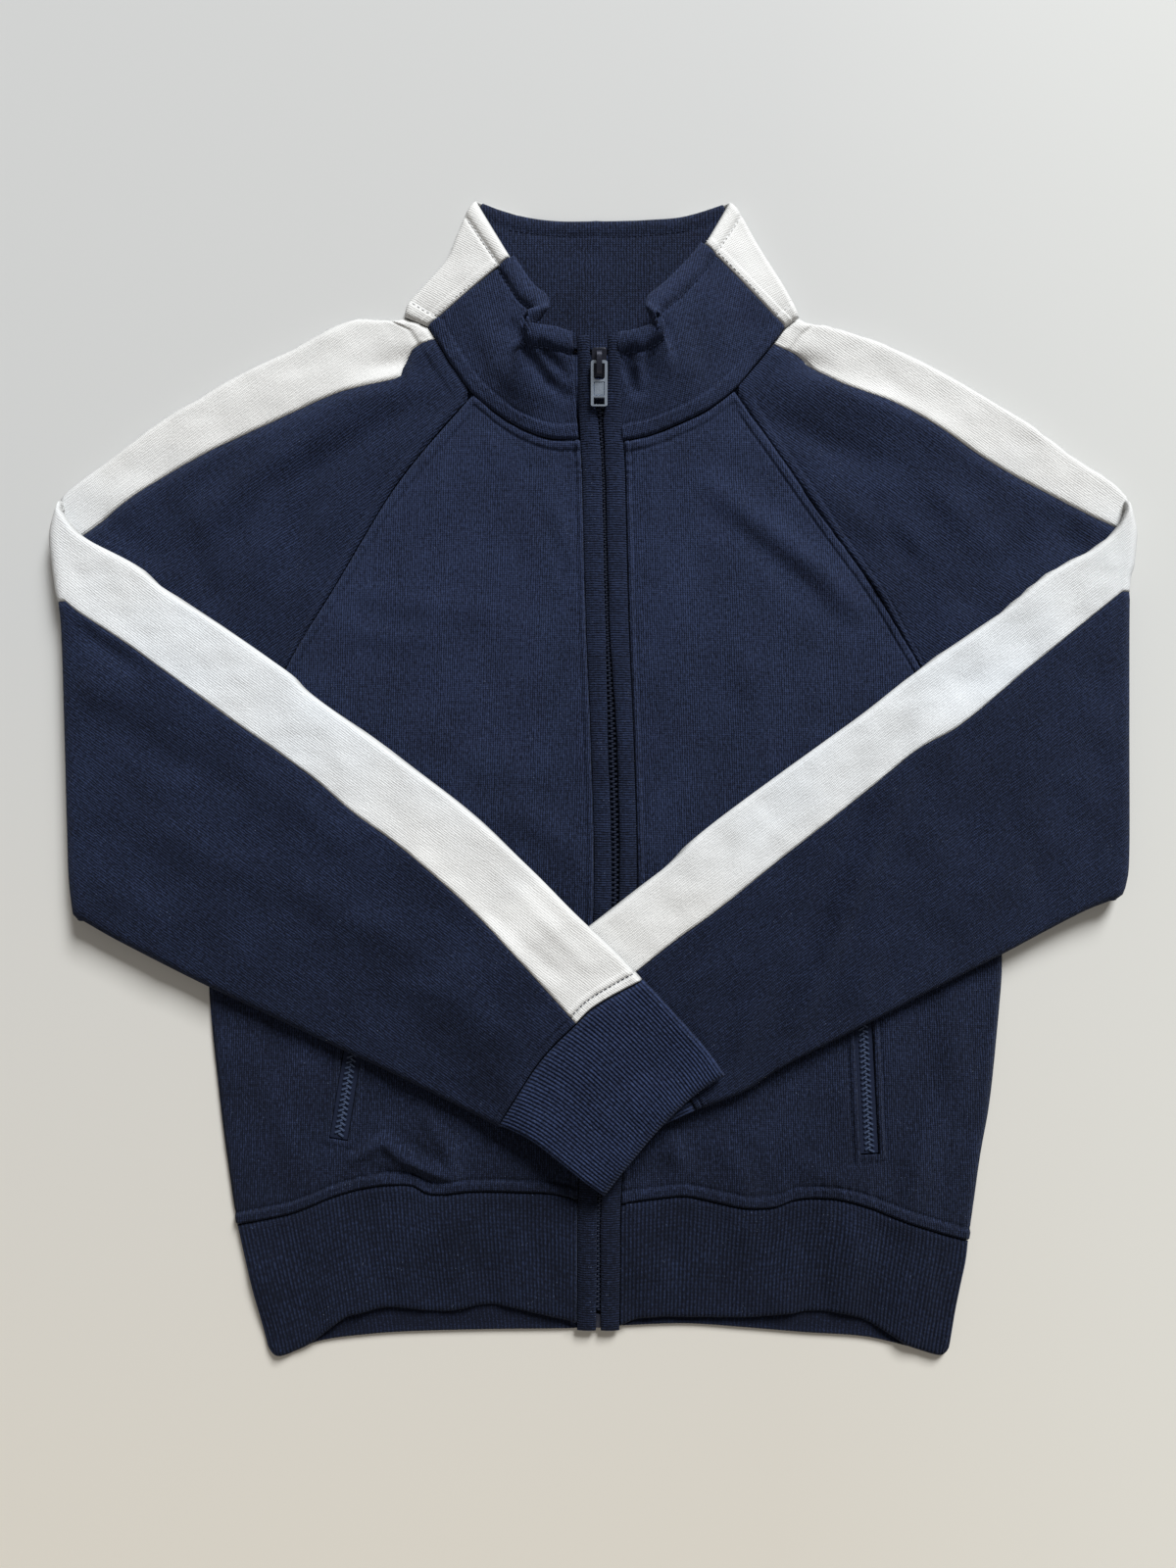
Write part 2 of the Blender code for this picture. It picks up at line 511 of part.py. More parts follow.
def arm_point(arm, row, s, depth, rise=0.0):
    """A point of the sleeve's wall. s runs from -1 (back layer, underarm) over 0 (shoulder edge) to 1 (front
    layer, underarm). depth is 0 on the outer face and WALL on the inner one."""
    zone, t = row
    back = s < 0
    a, b = section_ends(arm, zone, t)
    width = (b - a).length
    f = (depth + abs(s) * (width - 2 * depth)) / width
    half = SLEEVE_HALF
    if zone == "upper":
        half = SEAM_HALF + (SLEEVE_HALF - SEAM_HALF) * smooth(t / 0.35)
    edge = min(f, 1 - f) * width - depth
    reach = EDGE_ROUND - depth * 0.7
    share = 1.0 if edge >= reach else math.sqrt(max(0.0, 1 - (1 - edge / reach) ** 2))
    offset = (half - depth) * share
    if abs(s) > 0.5:
        offset = max(offset, GAP / 2)
    offset += rise * share
    flat = plan(arm, zone, t, f, back)
    x, y = flat
    fold_rise = folds(SLEEVE_FOLDS, x, y) * share
    if zone == "upper":
        if back:
            return Vector((x, y, half - offset))
        return Vector((x, y, half + offset + fold_rise + neck_lift(x, y) * share))
    if zone == "fold":
        angle = math.radians(t)
        out = Vector((arm["outward"] * math.cos(angle), 0, math.sin(angle)))
        radius = FOLD_RADIUS + (offset if back else -offset)
        return Vector((x, y, FOLD_HEIGHT)) + out * radius
    middle = FOLD_HEIGHT + FOLD_RADIUS
    middle += (FOREARM_MIDDLE - middle) * smooth(t / 0.2) + crossing_lift(arm, x, y)
    if back:
        return Vector((x, y, middle + offset + fold_rise))
    return Vector((x, y, middle - offset))


def sleeve_rows(arm):
    rows = [("upper", t) for t in UPPER_ROWS]
    rows += [("fold", angle) for angle in FOLD_ANGLES]
    rows += [("forearm", t) for t in FOREARM_ROWS]
    run = length_of(arm["forearm_top_line"])
    for left in (BAND_WIDTH + 0.8, BAND_WIDTH, 1.0, 0.15):
        rows.append(("forearm", 1 - left / run))
    return rows


def band_rise(arm, row):
    run = length_of(arm["forearm_top_line"])
    zone, t = row
    left = (1 - t) * run
    return BAND_RISE if zone == "forearm" and 0.5 < left < BAND_WIDTH + 0.3 else 0.0


def sleeve(arm, side, navy, white):
    ready(arm)
    rows = sleeve_rows(arm)
    shares = {row: stripe_shares(arm, *row) for row in rows}
    widths = {row: (lambda a, b: (b - a).length)(*section_ends(arm, *row)) for row in rows}
    seam = GAP / 2

    def stretch(knots, start, first, width):
        """Columns from the stripe seam to the underarm, keeping the first section's own spacing."""
        ends = (1 - EDGE_ROUND / width, 1 - 0.29 * EDGE_ROUND / width)
        shared = [start + (k - first) * (ends[0] - start) / (1 - first) for k in knots[:-1]]
        return [*shared, *ends, 1.0]

    front_knots = [s for s, _ in arm["front_start"]][2:]
    back_knots = [s for s, _ in arm["back_start"]][1:]

    def front_share(row, c):
        start = shares[row][0] + seam / widths[row]
        return stretch(front_knots, start, STRIPE_AT_NECK, widths[row])[c]

    def back_share(row, c):
        start = shares[row][1] + seam / widths[row]
        return -stretch(back_knots, start, BACK_STRIPE_AT_NECK, widths[row])[c]

    def stripe_share(row, c):
        front, back = shares[row]
        width = widths[row]
        near, nearer = EDGE_ROUND / width, 0.29 * EDGE_ROUND / width
        low, high = -back + seam / width, front - seam / width
        return [low, (low - near) / 2, -near, -nearer, 0.0, nearer, near, high][c]

    def seam_move(row, p, s):
        """Sets the first section back from the neck and raglan seams, across the seam."""
        if row != rows[0]:
            return p
        a, b = section_ends(arm, "upper", 0.06)
        ahead = plan(arm, "upper", 0.06, abs(s), s < 0)
        here = plan(arm, "upper", 0.0, abs(s), s < 0)
        step = (ahead - here).normalized() * 0.45
        return p + Vector((step.x, step.y, 0))

    def wall(share_of, depth):
        def point(row, c):
            s = share_of(row, c)
            rise = band_rise(arm, row) if depth == 0 else 0.0
            return seam_move(row, arm_point(arm, row, s, depth, rise), s)
        return point

    end = rows[-1]
    arm["end_shares"] = {
        False: [0.0, *(stripe_share(end, c) for c in (6, 7)), *(front_share(end, c)
                for c in range(len(front_knots) + 2))],
        True: [0.0, *(-stripe_share(end, c) for c in (2, 1, 0)), *(-back_share(end, c)
               for c in range(len(back_knots) + 2))],
    }
    for name, share_of, count, finish in (
            ("sleeve_front_", front_share, len(front_knots) + 2, navy),
            ("sleeve_back_", back_share, len(back_knots) + 2, navy),
            ("sleeve_stripe_", stripe_share, 8, white)):
        cloth(name + side, rows, range(count), wall(share_of, 0.0), wall(share_of, WALL), finish)


# ---- cuffs

CUFF_RIBS = 48
CUFF_ROWS = (0.0, 0.5, 1.0)


def cuff(arm, side, navy):
    lines = {key: spline(arm[key], 12) for key in ("cuff_edge", "cuff_top", "cuff_bottom")}
    along = {"edge": lambda s: at(lines["cuff_edge"], s),
             "top": lambda s: at(lines["cuff_top"], s), "bottom": lambda s: at(lines["cuff_bottom"], s)}
    seams = {layer: [(s, at(arm["seam_line"], s)) for s in shares]
             for layer, shares in arm["end_shares"].items()}
    columns = range(CUFF_RIBS * 4)
    start = 0.5 / length_of(lines["cuff_top"])

    def point(t, c, depth):
        turn = c / len(columns) * 2
        back = turn > 1
        f = turn if not back else 2 - turn
        t = start + t * (1 - start)
        width = (along["bottom"](t) - along["top"](t)).length
        f = (depth + f * (width - 2 * depth)) / width
        edge = min(f, 1 - f) * width - depth
        reach = EDGE_ROUND - depth * 0.7
        share = 1.0 if edge >= reach else math.sqrt(max(0.0, 1 - (1 - edge / reach) ** 2))
        offset = (SLEEVE_HALF - depth) * share
        if depth == 0:
            offset += RIB_RISE * (c % 2) * share - 0.1
        x, y = patch(lambda s: on_knots(seams[back], s), along["edge"], along["top"], along["bottom"], f, t)
        middle = FOREARM_MIDDLE + crossing_lift(arm, x, y)
        return Vector((x, y, middle + (offset if back else -offset)))

    cloth("cuff_" + side, CUFF_ROWS, columns, lambda t, c: point(t, c, 0.0),
          lambda t, c: point(t, c, WALL), navy, closed=True, every=4, smooth_angle=70)


# ---- body

FRONT_STEPS = 2 * (RAGLAN_STEPS + 4)
BACK_STEPS = 2 * RAGLAN_STEPS + 3
PANEL_ROWS = (0.0, 0.1, 0.2, 0.32, 0.44, 0.58, 0.72, 0.86)
SIDE_DROP = 0.3            # the front's edge lies this much lower at the side seam


def zip_edge(side, top, bottom, share):
    """Edge of a front panel beside the zip."""
    y = top + (bottom - top) * share
    return Vector((zip_x(y) + side * PANEL_START, y))


def front(side, sign, neck, raglan, side_line, hem, pocket, navy):
    raglan_line = spline(raglan, RAGLAN_STEPS)
    neck_line = [Vector(p) for p in neck[4:]][::-1]
    top = neck_line[:-1] + raglan_line
    bottom = spline(hem, FRONT_STEPS)
    down = spline(side_line, 24)
    long = (top[0] - bottom[0]).length
    tail = [1 - left / long for left in (BAND_WIDTH + 0.8, BAND_WIDTH, 1.0)]
    rows = [*PANEL_ROWS, *tail, 1.0]
    columns = [k / FRONT_STEPS for k in range(FRONT_STEPS + 1)]
    near_side = 1 - 3.0 / (bottom[0] - bottom[-1]).length
    columns = [*columns[:-1], near_side, 1.0]

    def spot(t, f):
        p = patch(lambda s: at(top, s), lambda s: at(bottom, s),
                  lambda s: zip_edge(sign, top[0].y, bottom[0].y, s), lambda s: at(down, s), f, t)
        if t == 0.0:
            p += Vector((-sign * 0.1, -0.35)) if f < 1 else Vector((0, -0.2))
        if t == 1.0:
            p += Vector((0, 0.3))
        return p

    def outer(t, f):
        x, y = spot(t, f)
        band = BAND_RISE if tail[0] + 0.001 < t < 0.999 and f < 1 else 0.0
        return Vector((x, y, body_top(x, y) + band - SIDE_DROP * (f == 1.0)))

    def inner(t, f):
        x, y = spot(t, f)
        return Vector((x, y, body_top(x, y) - WALL - SIDE_DROP * (f == 1.0)))

    panel = cloth("front_" + side, rows, columns, outer, inner, navy)

    line = spline(pocket, 8)
    cutter = tube_along("pocket_cutter_" + side, [
        [Vector((p.x - SLOT_HALF, p.y, 0.5)), Vector((p.x + SLOT_HALF, p.y, 0.5)),
         Vector((p.x + SLOT_HALF, p.y, 9.0)), Vector((p.x - SLOT_HALF, p.y, 9.0))] for p in line], navy)
    cutter.hide_render = True
    cutter.display_type = "WIRE"
    cut = panel.modifiers.new("pocket slot", "BOOLEAN")
    cut.operation = "DIFFERENCE"
    cut.solver = "EXACT"
    cut.object = cutter
    return panel


def back(navy):
    right = spline(RIGHT_BACK_RAGLAN, RAGLAN_STEPS)[::-1]
    left = spline(LEFT_BACK_RAGLAN, RAGLAN_STEPS)
    top = right + [Vector((-20.0, 229.5)), Vector((30.0, 229.5))] + left
    bottom = spline(BACK_HEM_SEAM, len(top) - 1)
    right_side, left_side = spline(RIGHT_SIDE, 24), spline(LEFT_SIDE, 24)
    columns = [k / (len(top) - 1) for k in range(len(top))]

    def spot(t, f, z):
        p = patch(lambda s: at(top, s), lambda s: at(bottom, s),
                  lambda s: at(right_side, s), lambda s: at(left_side, s), f, t)
        move = (-0.35 if t == 0.0 else 0.3) if t in (0.0, 1.0) else 0.0
        return Vector((p.x, p.y + move, z))

    cloth("back_body", (0.0, 0.12, 0.28, 0.46, 0.64, 0.82, 1.0), columns,
          lambda t, f: spot(t, f, 0.0), lambda t, f: spot(t, f, WALL), navy)


HEM_MIDDLE = 1.9
HEM_BACK_STEPS = 16


def hem_rib(navy):
    parts = {
        "right": (spline(RIGHT_HEM_SEAM, FRONT_STEPS), spline(RIGHT_HEM_EDGE, 24), spline(RIGHT_HEM_SIDE, 8)),
        "left": (spline(LEFT_HEM_SEAM, FRONT_STEPS), spline(LEFT_HEM_EDGE, 24), spline(LEFT_HEM_SIDE, 8)),
    }
    signs = {"right": -1, "left": 1}
    back_seam, back_edge = spline(BACK_HEM_SEAM, BACK_STEPS), spline(BACK_HEM_EDGE, 40)
    ribs = {side: round(length_of(part[0]) / RIB_PITCH / 2) * 2 for side, part in parts.items()}
    width = length_of(back_seam)
    turn = (0.29 * EDGE_ROUND / width, EDGE_ROUND / width)
    across = [turn[0], turn[1], *(k / HEM_BACK_STEPS for k in range(1, HEM_BACK_STEPS)), 1 - turn[1],
              1 - turn[0]]
    columns = [("right", c / (ribs["right"] * 2), c % 2) for c in range(ribs["right"] * 2 + 1)]
    columns += [("back", share, 0) for share in across]
    columns += [("left", 1 - c / (ribs["left"] * 2), c % 2) for c in range(ribs["left"] * 2 + 1)]
    spare = (len(columns) - 1) % 4
    if spare:
        columns = columns[:-1 - spare] + columns[-1:]

    def point(r, column, depth):
        part, share, high = column
        long = width if part == "back" else length_of(parts[part][0])
        if part == "back":
            inset = (depth + share * (long - 2 * depth)) / long
            edge = min(inset, 1 - inset) * long - depth
            p = patch(lambda s: at(back_seam, s), lambda s: at(back_edge, s),
                      lambda s: at(parts["right"][2], s), lambda s: at(parts["left"][2], s), inset, r)
        else:
            seam, low, down = parts[part]
            sign = signs[part]
            inset = share * (1 - depth / long)
            edge = (1 - inset) * long - depth
            p = patch(lambda s: at(seam, s), lambda s: at(low, s),
                      lambda s: zip_edge(sign, seam[0].y, low[0].y, s), lambda s: at(down, s), inset, r)
        if r == 0.0:
            p = p + Vector((0, -0.3))
        reach = EDGE_ROUND - depth * 0.7
        g = 1.0 if edge >= reach else math.sqrt(max(0.0, 1 - (1 - edge / reach) ** 2))
        if part == "back":
            return Vector((p.x, p.y, HEM_MIDDLE - (HEM_MIDDLE - depth) * g))
        top = body_top(p.x, p.y) + 0.35 * (1 + math.sin(p.x / 17.0 + 0.8)) * r
        rib = RIB_RISE * high if depth == 0 else 0.0
        return Vector((p.x, p.y, HEM_MIDDLE + (top - depth - HEM_MIDDLE) * g + rib * g))

    cloth("hem_rib", (0.0, 1.0), columns, lambda r, c: point(r, c, 0.0),
          lambda r, c: point(r, c, WALL), navy, every=4, smooth_angle=70)


# ---- collar

def collar(side, sign, neck, fold_table, top_table, navy, white):
    neck_line = [Vector(p) for p in neck]
    fold_line = spline(fold_table, 16)
    white_top = spline(top_table[:WHITE_TOP + 1], 8)
    navy_top = spline(top_table[WHITE_TOP:], 24)
    zip_y = neck_line[-1].y, navy_top[-1].y
    seam_foot, seam_head = neck_line[1], navy_top[0]
    rise_rows = (0.0, 0.13, 0.16, 0.4, 0.65, 0.85, 1.0)

    def seam_line(t):
        foot = Vector((*seam_foot, body_top(*seam_foot)))
        return foot.lerp(seam_head, t) + Vector((0, 0, 1.2 * math.sin(math.pi * t)))

    def zip_side(t):
        y = zip_y[0] + (zip_y[1] - zip_y[0]) * t
        return Vector((zip_x(y) + sign * PANEL_START, y, zip_z(y)))

    def foot_line(f):
        place = 1 + f * (len(neck_line) - 2)
        k = min(int(place), len(neck_line) - 2)
        p = neck_line[k].lerp(neck_line[k + 1], place - k)
        return Vector((p.x, p.y, body_top(p.x, p.y)))

    def surface(t, f):
        return patch(foot_line, lambda s: at(navy_top, s), seam_line, zip_side, f, t)

    def face(t, f, depth):
        step = 0.004
        f0, f1 = max(0.0, f - step), min(1.0, f + step)
        t0, t1 = max(0.0, t - step), min(1.0, t + step)
        normal = (surface(t, f1) - surface(t, f0)).cross(surface(t1, f) - surface(t0, f)).normalized()
        normal *= orientation
        p = surface(t, f) - normal * depth
        band = BAND_RISE if depth == 0 and 0.01 < t < 0.15 else 0.0
        if t == 0.0:
            p += Vector((sign * 0.1, 0.35, 0))
        if f == 0.0:
            p += Vector((-sign * 0.2, -0.1, 0))
        return p + normal * band

    probe = (surface(0.3, 0.32) - surface(0.3, 0.3)).cross(surface(0.32, 0.3) - surface(0.3, 0.3))
    orientation = 1.0 if probe.z > 0 else -1.0
    columns = [k / 18 for k in range(19)]
    cloth("collar_front_" + side, rise_rows, columns, lambda t, f: face(t, f, 0.0),
          lambda t, f: face(t, f, COLLAR_WALL), navy)

    # The white panel wraps from the front round the fold to the outside of the back
    back_foot = Vector((neck_line[0].x - sign * WHITE_BACK[0], neck_line[0].y - WHITE_BACK[1]))
    back_head = at(BACK_TOP, WHITE_BACK_TOP if sign < 0 else 1 - WHITE_BACK_TOP)

    def wrap(t, s, depth):
        edge_at = at(fold_line, t)
        if s < 0:
            far = back_foot.lerp(back_head, t)
            width = (far - edge_at).length
        else:
            far3 = seam_line(t)
            far = Vector((far3.x, far3.y))
            width = (far - edge_at).length
        inset = depth + abs(s) * (width - depth)
        spot = edge_at.lerp(far, inset / width)
        reach = EDGE_ROUND - depth * 0.7
        edge = inset - depth
        g = 1.0 if edge >= reach else math.sqrt(max(0.0, 1 - (1 - edge / reach) ** 2))
        if t == 0.0:
            spot = spot + Vector((0, 0.4))
        if s < 0:
            return Vector((*spot, COLLAR_MIDDLE - (COLLAR_MIDDLE - depth) * g))
        top = 2 * COLLAR_MIDDLE + (far3.z - 2 * COLLAR_MIDDLE) * smooth(inset / width)
        lower = 1.0 if t > 0.05 else 0.85
        return Vector((*spot, COLLAR_MIDDLE + (top * lower - depth - COLLAR_MIDDLE) * g))

    near = EDGE_ROUND / WHITE_WIDTH
    shares = [-0.985, -0.5, -near, -0.29 * near, 0.0, 0.29 * near, near, 0.5, 0.98]
    cloth("collar_stripe_" + side, (0.0, 0.25, 0.5, 0.75, 1.0), shares,
          lambda t, s: wrap(t, s, 0.0), lambda t, s: wrap(t, s, WALL), white)
    return back_foot


BACK_TOP = spline(COLLAR_BACK_TOP, 24)


def collar_back(name, low, high, foot_right, foot_left, share_right, share_left, finish):
    foot = spline([foot_right, (-58.0, 235.6), (-20.0, 230.2), (30.0, 230.2), (67.0, 235.6), foot_left], 16)

    def spot(t, f, z):
        top = at(BACK_TOP, share_right + (share_left - share_right) * f)
        p = at(foot, f).lerp(top, t)
        return Vector((p.x, p.y, z))

    columns = [k / 16 for k in range(17)]
    cloth(name, (0.0, 0.5, 1.0), columns, lambda t, f: spot(t, f, high), lambda t, f: spot(t, f, low), finish)


# ---- front zip

def zip_places(top, bottom, count):
    return [top + (bottom - top) * k / count for k in range(count + 1)]


def placket(side, sign, navy):
    def ring(y):
        centre, z, opening = zip_x(y), zip_z(y), zip_opening(y)
        profile = [(PLACKET_OUTER, -0.9), (PLACKET_OUTER, 0.35), (PLACKET_OUTER - 1.4, 0.75),
                   (opening + 2.6, 0.95), (opening + 0.7, 1.75), (opening, 1.25), (opening + 0.1, 0.25),
                   (max(3.4, opening + 0.8), -0.75)]
        return [Vector((centre + sign * across, y, z + up)) for across, up in profile]
    tube_along("placket_" + side, [ring(y) for y in zip_places(231.2, -294.6, 28)], navy, 60)


def zip_tape(side, sign, finish):
    def ring(y):
        centre, z = zip_x(y), zip_z(y)
        start = max(CHAIN_HALF + 0.35, zip_opening(y) - 0.2)
        return [Vector((centre + sign * across, y, z + up)) for across, up in (
            (start, -1.8), (TAPE_OUTER, -1.8), (TAPE_OUTER, -1.2), (start, -1.2))]
    tube_along("zip_tape_" + side, [ring(y) for y in zip_places(230.0, -292.0, 28)], finish)


def zip_chain(finish):
    def ring(y):
        centre, z = zip_x(y), zip_z(y)
        profile = [(-CHAIN_HALF, -1.8), (CHAIN_HALF, -1.8), (CHAIN_HALF, -0.5), (CHAIN_HALF - 0.5, -0.1),
                   (0.5 - CHAIN_HALF, -0.1), (-CHAIN_HALF, -0.5)]
        return [Vector((centre + across, y, z + up)) for across, up in profile]
    start = SLIDER_TOP - SLIDER_LENGTH - 0.4
    tube_along("zip_chain", [ring(y) for y in zip_places(start, -282.0, 28)], finish)


def box(bm, low, high, middle_of=(0, 0, 0)):
    """A block between two corners, measured from a given point."""
    made = bmesh.ops.create_cube(bm, size=1.0)["verts"]
    size = [b - a for a, b in zip(low, high)]
    middle = [(a + b) / 2 - c for a, b, c in zip(low, high, middle_of)]
    bmesh.ops.scale(bm, vec=Vector(size) * MM, verts=made)
    bmesh.ops.translate(bm, vec=Vector(middle) * MM, verts=made)
    return made


def cutter_box(name, low, high):
    bm = bmesh.new()
    box(bm, low, high)
    made = add(name, bm, bpy.data.materials[0])
    made.hide_render = True
    made.display_type = "WIRE"
    return made


def cut_with(piece, cutter, way="DIFFERENCE"):
    made = piece.modifiers.new(cutter.name, "BOOLEAN")
    made.operation = way
    made.solver = "EXACT"
    made.object = cutter


def zip_hardware(metal, dark):
    """The slider and its pull tab are made lying along the table and turned to the slope of the zip there."""
    top, bottom = HINGE_Y, HINGE_Y - PULL_LENGTH
    slope = math.atan2(zip_z(top) - zip_z(bottom), PULL_LENGTH)
    pivot = Vector((zip_x(HINGE_Y), HINGE_Y, zip_z(HINGE_Y) + PULL_RISE))

    base = bpy.data.objects.new("zip_pivot", None)
    base.location = place(pivot)
    base.rotation_euler = (slope, 0, 0)
    bpy.context.scene.collection.objects.link(base)

    ahead, behind = SLIDER_TOP - HINGE_Y, SLIDER_TOP - HINGE_Y - SLIDER_LENGTH
    bm = bmesh.new()
    box(bm, (-SLIDER_HALF, behind, SLIDER_BASE), (SLIDER_HALF, ahead, SLIDER_FACE))
    bmesh.ops.bevel(bm, geom=list(bm.edges), offset=0.6 * MM, segments=2, affect="EDGES", profile=0.5)
    slider = add("zip_slider", bm, dark)
    bm = bmesh.new()
    box(bm, (-BRIDGE_HALF, behind + 1.0, SLIDER_FACE - 0.8), (BRIDGE_HALF, ahead - 2.4, BRIDGE_TOP))
    bmesh.ops.bevel(bm, geom=[e for e in bm.edges if all(v.co.z > 0 for v in e.verts)],
                    offset=1.0 * MM, segments=3, affect="EDGES", profile=0.5)
    bridge = add("bridge", bm, dark)
    bridge.hide_render = True
    bridge.display_type = "WIRE"
    hole = cutter_box("bridge_hole", (-SLIDER_HALF, behind + 2.9, SLIDER_FACE + 0.05),
                      (SLIDER_HALF, ahead - 4.3, BRIDGE_ROOM))
    cut_with(slider, bridge, "UNION")
    cut_with(slider, hole)

    bm = bmesh.new()
    box(bm, (-PULL_WIDTH / 2, PULL_BAR - PULL_LENGTH, -PULL_THICK / 2),
        (PULL_WIDTH / 2, PULL_BAR, PULL_THICK / 2))
    bmesh.ops.bevel(bm, geom=[e for e in bm.edges if abs(e.verts[0].co.z - e.verts[1].co.z) > 0.5 * MM],
                    offset=1.2 * MM, segments=3, affect="EDGES", profile=0.5)
    pull = add("zip_pull", bm, metal)
    slot = cutter_box("pull_slot", (-PULL_SLOT[1], PULL_SLOT[0], -PULL_THICK),
                      (PULL_SLOT[1], -PULL_BAR, PULL_THICK))
    window = cutter_box("pull_window", (-PULL_WINDOW[2], PULL_WINDOW[0], -PULL_THICK),
                        (PULL_WINDOW[2], PULL_WINDOW[1], PULL_THICK))
    cut_with(pull, slot)
    cut_with(pull, window)
    for piece in (slider, bridge, hole, pull, slot, window):
        piece.parent = base

    bm = bmesh.new()
    y, z = -290.0, zip_z(-290.0)
    box(bm, (zip_x(y) - 2.2, y - 3.6, z - 1.8), (zip_x(y) + 2.2, y + 3.6, z - 0.1), MIDDLE)
    bmesh.ops.bevel(bm, geom=list(bm.edges), offset=0.3 * MM, segments=1, affect="EDGES", profile=0.5)
    add("zip_box", bm, dark)


# ---- pocket zips

def pocket(side, table, finish, metal):
    line = spline(table, 8)
    inset = (line[-1] - line[0]).normalized() * 0.35
    line[0] = line[0] + inset
    line[-1] = line[-1] - inset

    def ring(p):
        z = body_top(p.x, p.y)
        profile = [(-POCKET_ZIP_HALF, -1.3), (POCKET_ZIP_HALF, -1.3), (POCKET_ZIP_HALF, -0.6), (2.1, -0.6),
                   (1.8, 0.2), (-1.8, 0.2), (-2.1, -0.6), (-POCKET_ZIP_HALF, -0.6)]
        return [Vector((p.x + across, p.y, z + up)) for across, up in profile]
    tube_along("pocket_zip_" + side, [ring(p) for p in line], finish)

    p = line[0].lerp(line[1], 0.5)
    z = body_top(p.x, p.y) + 0.45
    bm = bmesh.new()
    box(bm, (p.x - 2.6, p.y - 4.5, z), (p.x + 2.6, p.y + 4.5, z + 0.9), MIDDLE)
    bmesh.ops.bevel(bm, geom=[e for e in bm.edges if abs(e.verts[0].co.z - e.verts[1].co.z) > 0.5 * MM],
                    offset=0.8 * MM, segments=2, affect="EDGES", profile=0.5)
    add("pocket_slider_" + side, bm, metal)


def build():
    for old in list(bpy.data.objects):
        bpy.data.objects.remove(old, do_unlink=True)
    navy = material("navy knit", NAVY, 0.92)
    rib = material("navy rib", NAVY, 0.92)
    white = material("white knit", WHITE, 0.9)
    tape = material("zip tape", ZIP_NAVY, 0.8)
    teeth = material("zip teeth", ZIP_NAVY, 0.45)
    steel = material("brushed steel", STEEL, 0.35, 1.0)
    dark = material("dark metal", DARK_METAL, 0.4, 0.9)

    back(navy)
    front("right", -1, RIGHT_NECK, RIGHT_RAGLAN, RIGHT_SIDE, RIGHT_HEM_SEAM, RIGHT_POCKET, navy)
    front("left", 1, LEFT_NECK, LEFT_RAGLAN, LEFT_SIDE, LEFT_HEM_SEAM, LEFT_POCKET, navy)
    hem_rib(rib)
    for arm, side in ((RIGHT_ARM, "right"), (LEFT_ARM, "left")):
        sleeve(arm, side, navy, white)
        cuff(arm, side, rib)
    right = collar("right", -1, RIGHT_NECK, RIGHT_COLLAR_SIDE, RIGHT_COLLAR_TOP, navy, white)
    left = collar("left", 1, LEFT_NECK, LEFT_COLLAR_SIDE, LEFT_COLLAR_TOP, navy, white)
    edge = WHITE_BACK_TOP + 0.006
    collar_back("collar_back", 0.0, WALL, right + Vector((0.6, 0.4)), left + Vector((-0.6, 0.4)),
                edge, 1 - edge, navy)
    collar_back("collar_inside", WALL + GAP, WALL + GAP + INSIDE_WALL, (-80.0, 252.0), (88.0, 252.0),
                0.08, 0.92, navy)
    for side, sign in (("right", -1), ("left", 1)):
        placket(side, sign, rib)
        zip_tape(side, sign, tape)
    zip_chain(teeth)
    zip_hardware(steel, dark)
    pocket("right", RIGHT_POCKET, tape, dark)
    pocket("left", LEFT_POCKET, tape, dark)


build()
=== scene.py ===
import math

import bmesh
import bpy
from mathutils import Matrix, Vector, noise


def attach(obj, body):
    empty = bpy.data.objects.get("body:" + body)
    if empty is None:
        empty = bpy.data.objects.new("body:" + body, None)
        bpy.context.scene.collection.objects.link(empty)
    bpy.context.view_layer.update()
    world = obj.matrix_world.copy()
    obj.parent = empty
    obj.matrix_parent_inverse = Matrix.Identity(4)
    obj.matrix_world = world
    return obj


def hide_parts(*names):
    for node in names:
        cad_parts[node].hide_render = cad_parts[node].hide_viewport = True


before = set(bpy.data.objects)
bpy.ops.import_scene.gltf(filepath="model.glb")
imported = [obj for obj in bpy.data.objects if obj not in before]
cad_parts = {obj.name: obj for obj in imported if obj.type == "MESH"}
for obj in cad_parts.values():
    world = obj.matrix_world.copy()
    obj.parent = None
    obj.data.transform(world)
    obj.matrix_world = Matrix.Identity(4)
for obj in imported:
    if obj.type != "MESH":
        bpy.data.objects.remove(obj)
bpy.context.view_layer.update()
print("frame loaded")

mm = 0.001
middle = Vector((-0.1, -0.4, 0.0))  # middle of the garment in the tables below, all in millimetres
fine = 1.0  # share of the rows and columns of each grid
body = "garment"

camera = {"x": -2.86, "y": -2.86, "height": 609.0, "lens": 26.0}

cloth = {
    "wall": 1.1, "bodyTop": 3.8, "sleeveHalf": 2.6, "seamHalf": 1.9, "edgeRound": 3.6,
    "gap": 0.12, "elbowReach": 15.0, "elbowPinch": 0.6, "ribPitch": 2.1, "weld": 0.00001,
    "foldRadius": 3.6, "foldHeight": 6.2, "cornerLift": 5.5, "forearmMiddle": 9.0,
    "crossingRise": 6.6, "crossingStart": -40.0, "crossingEnd": -8.0,
}

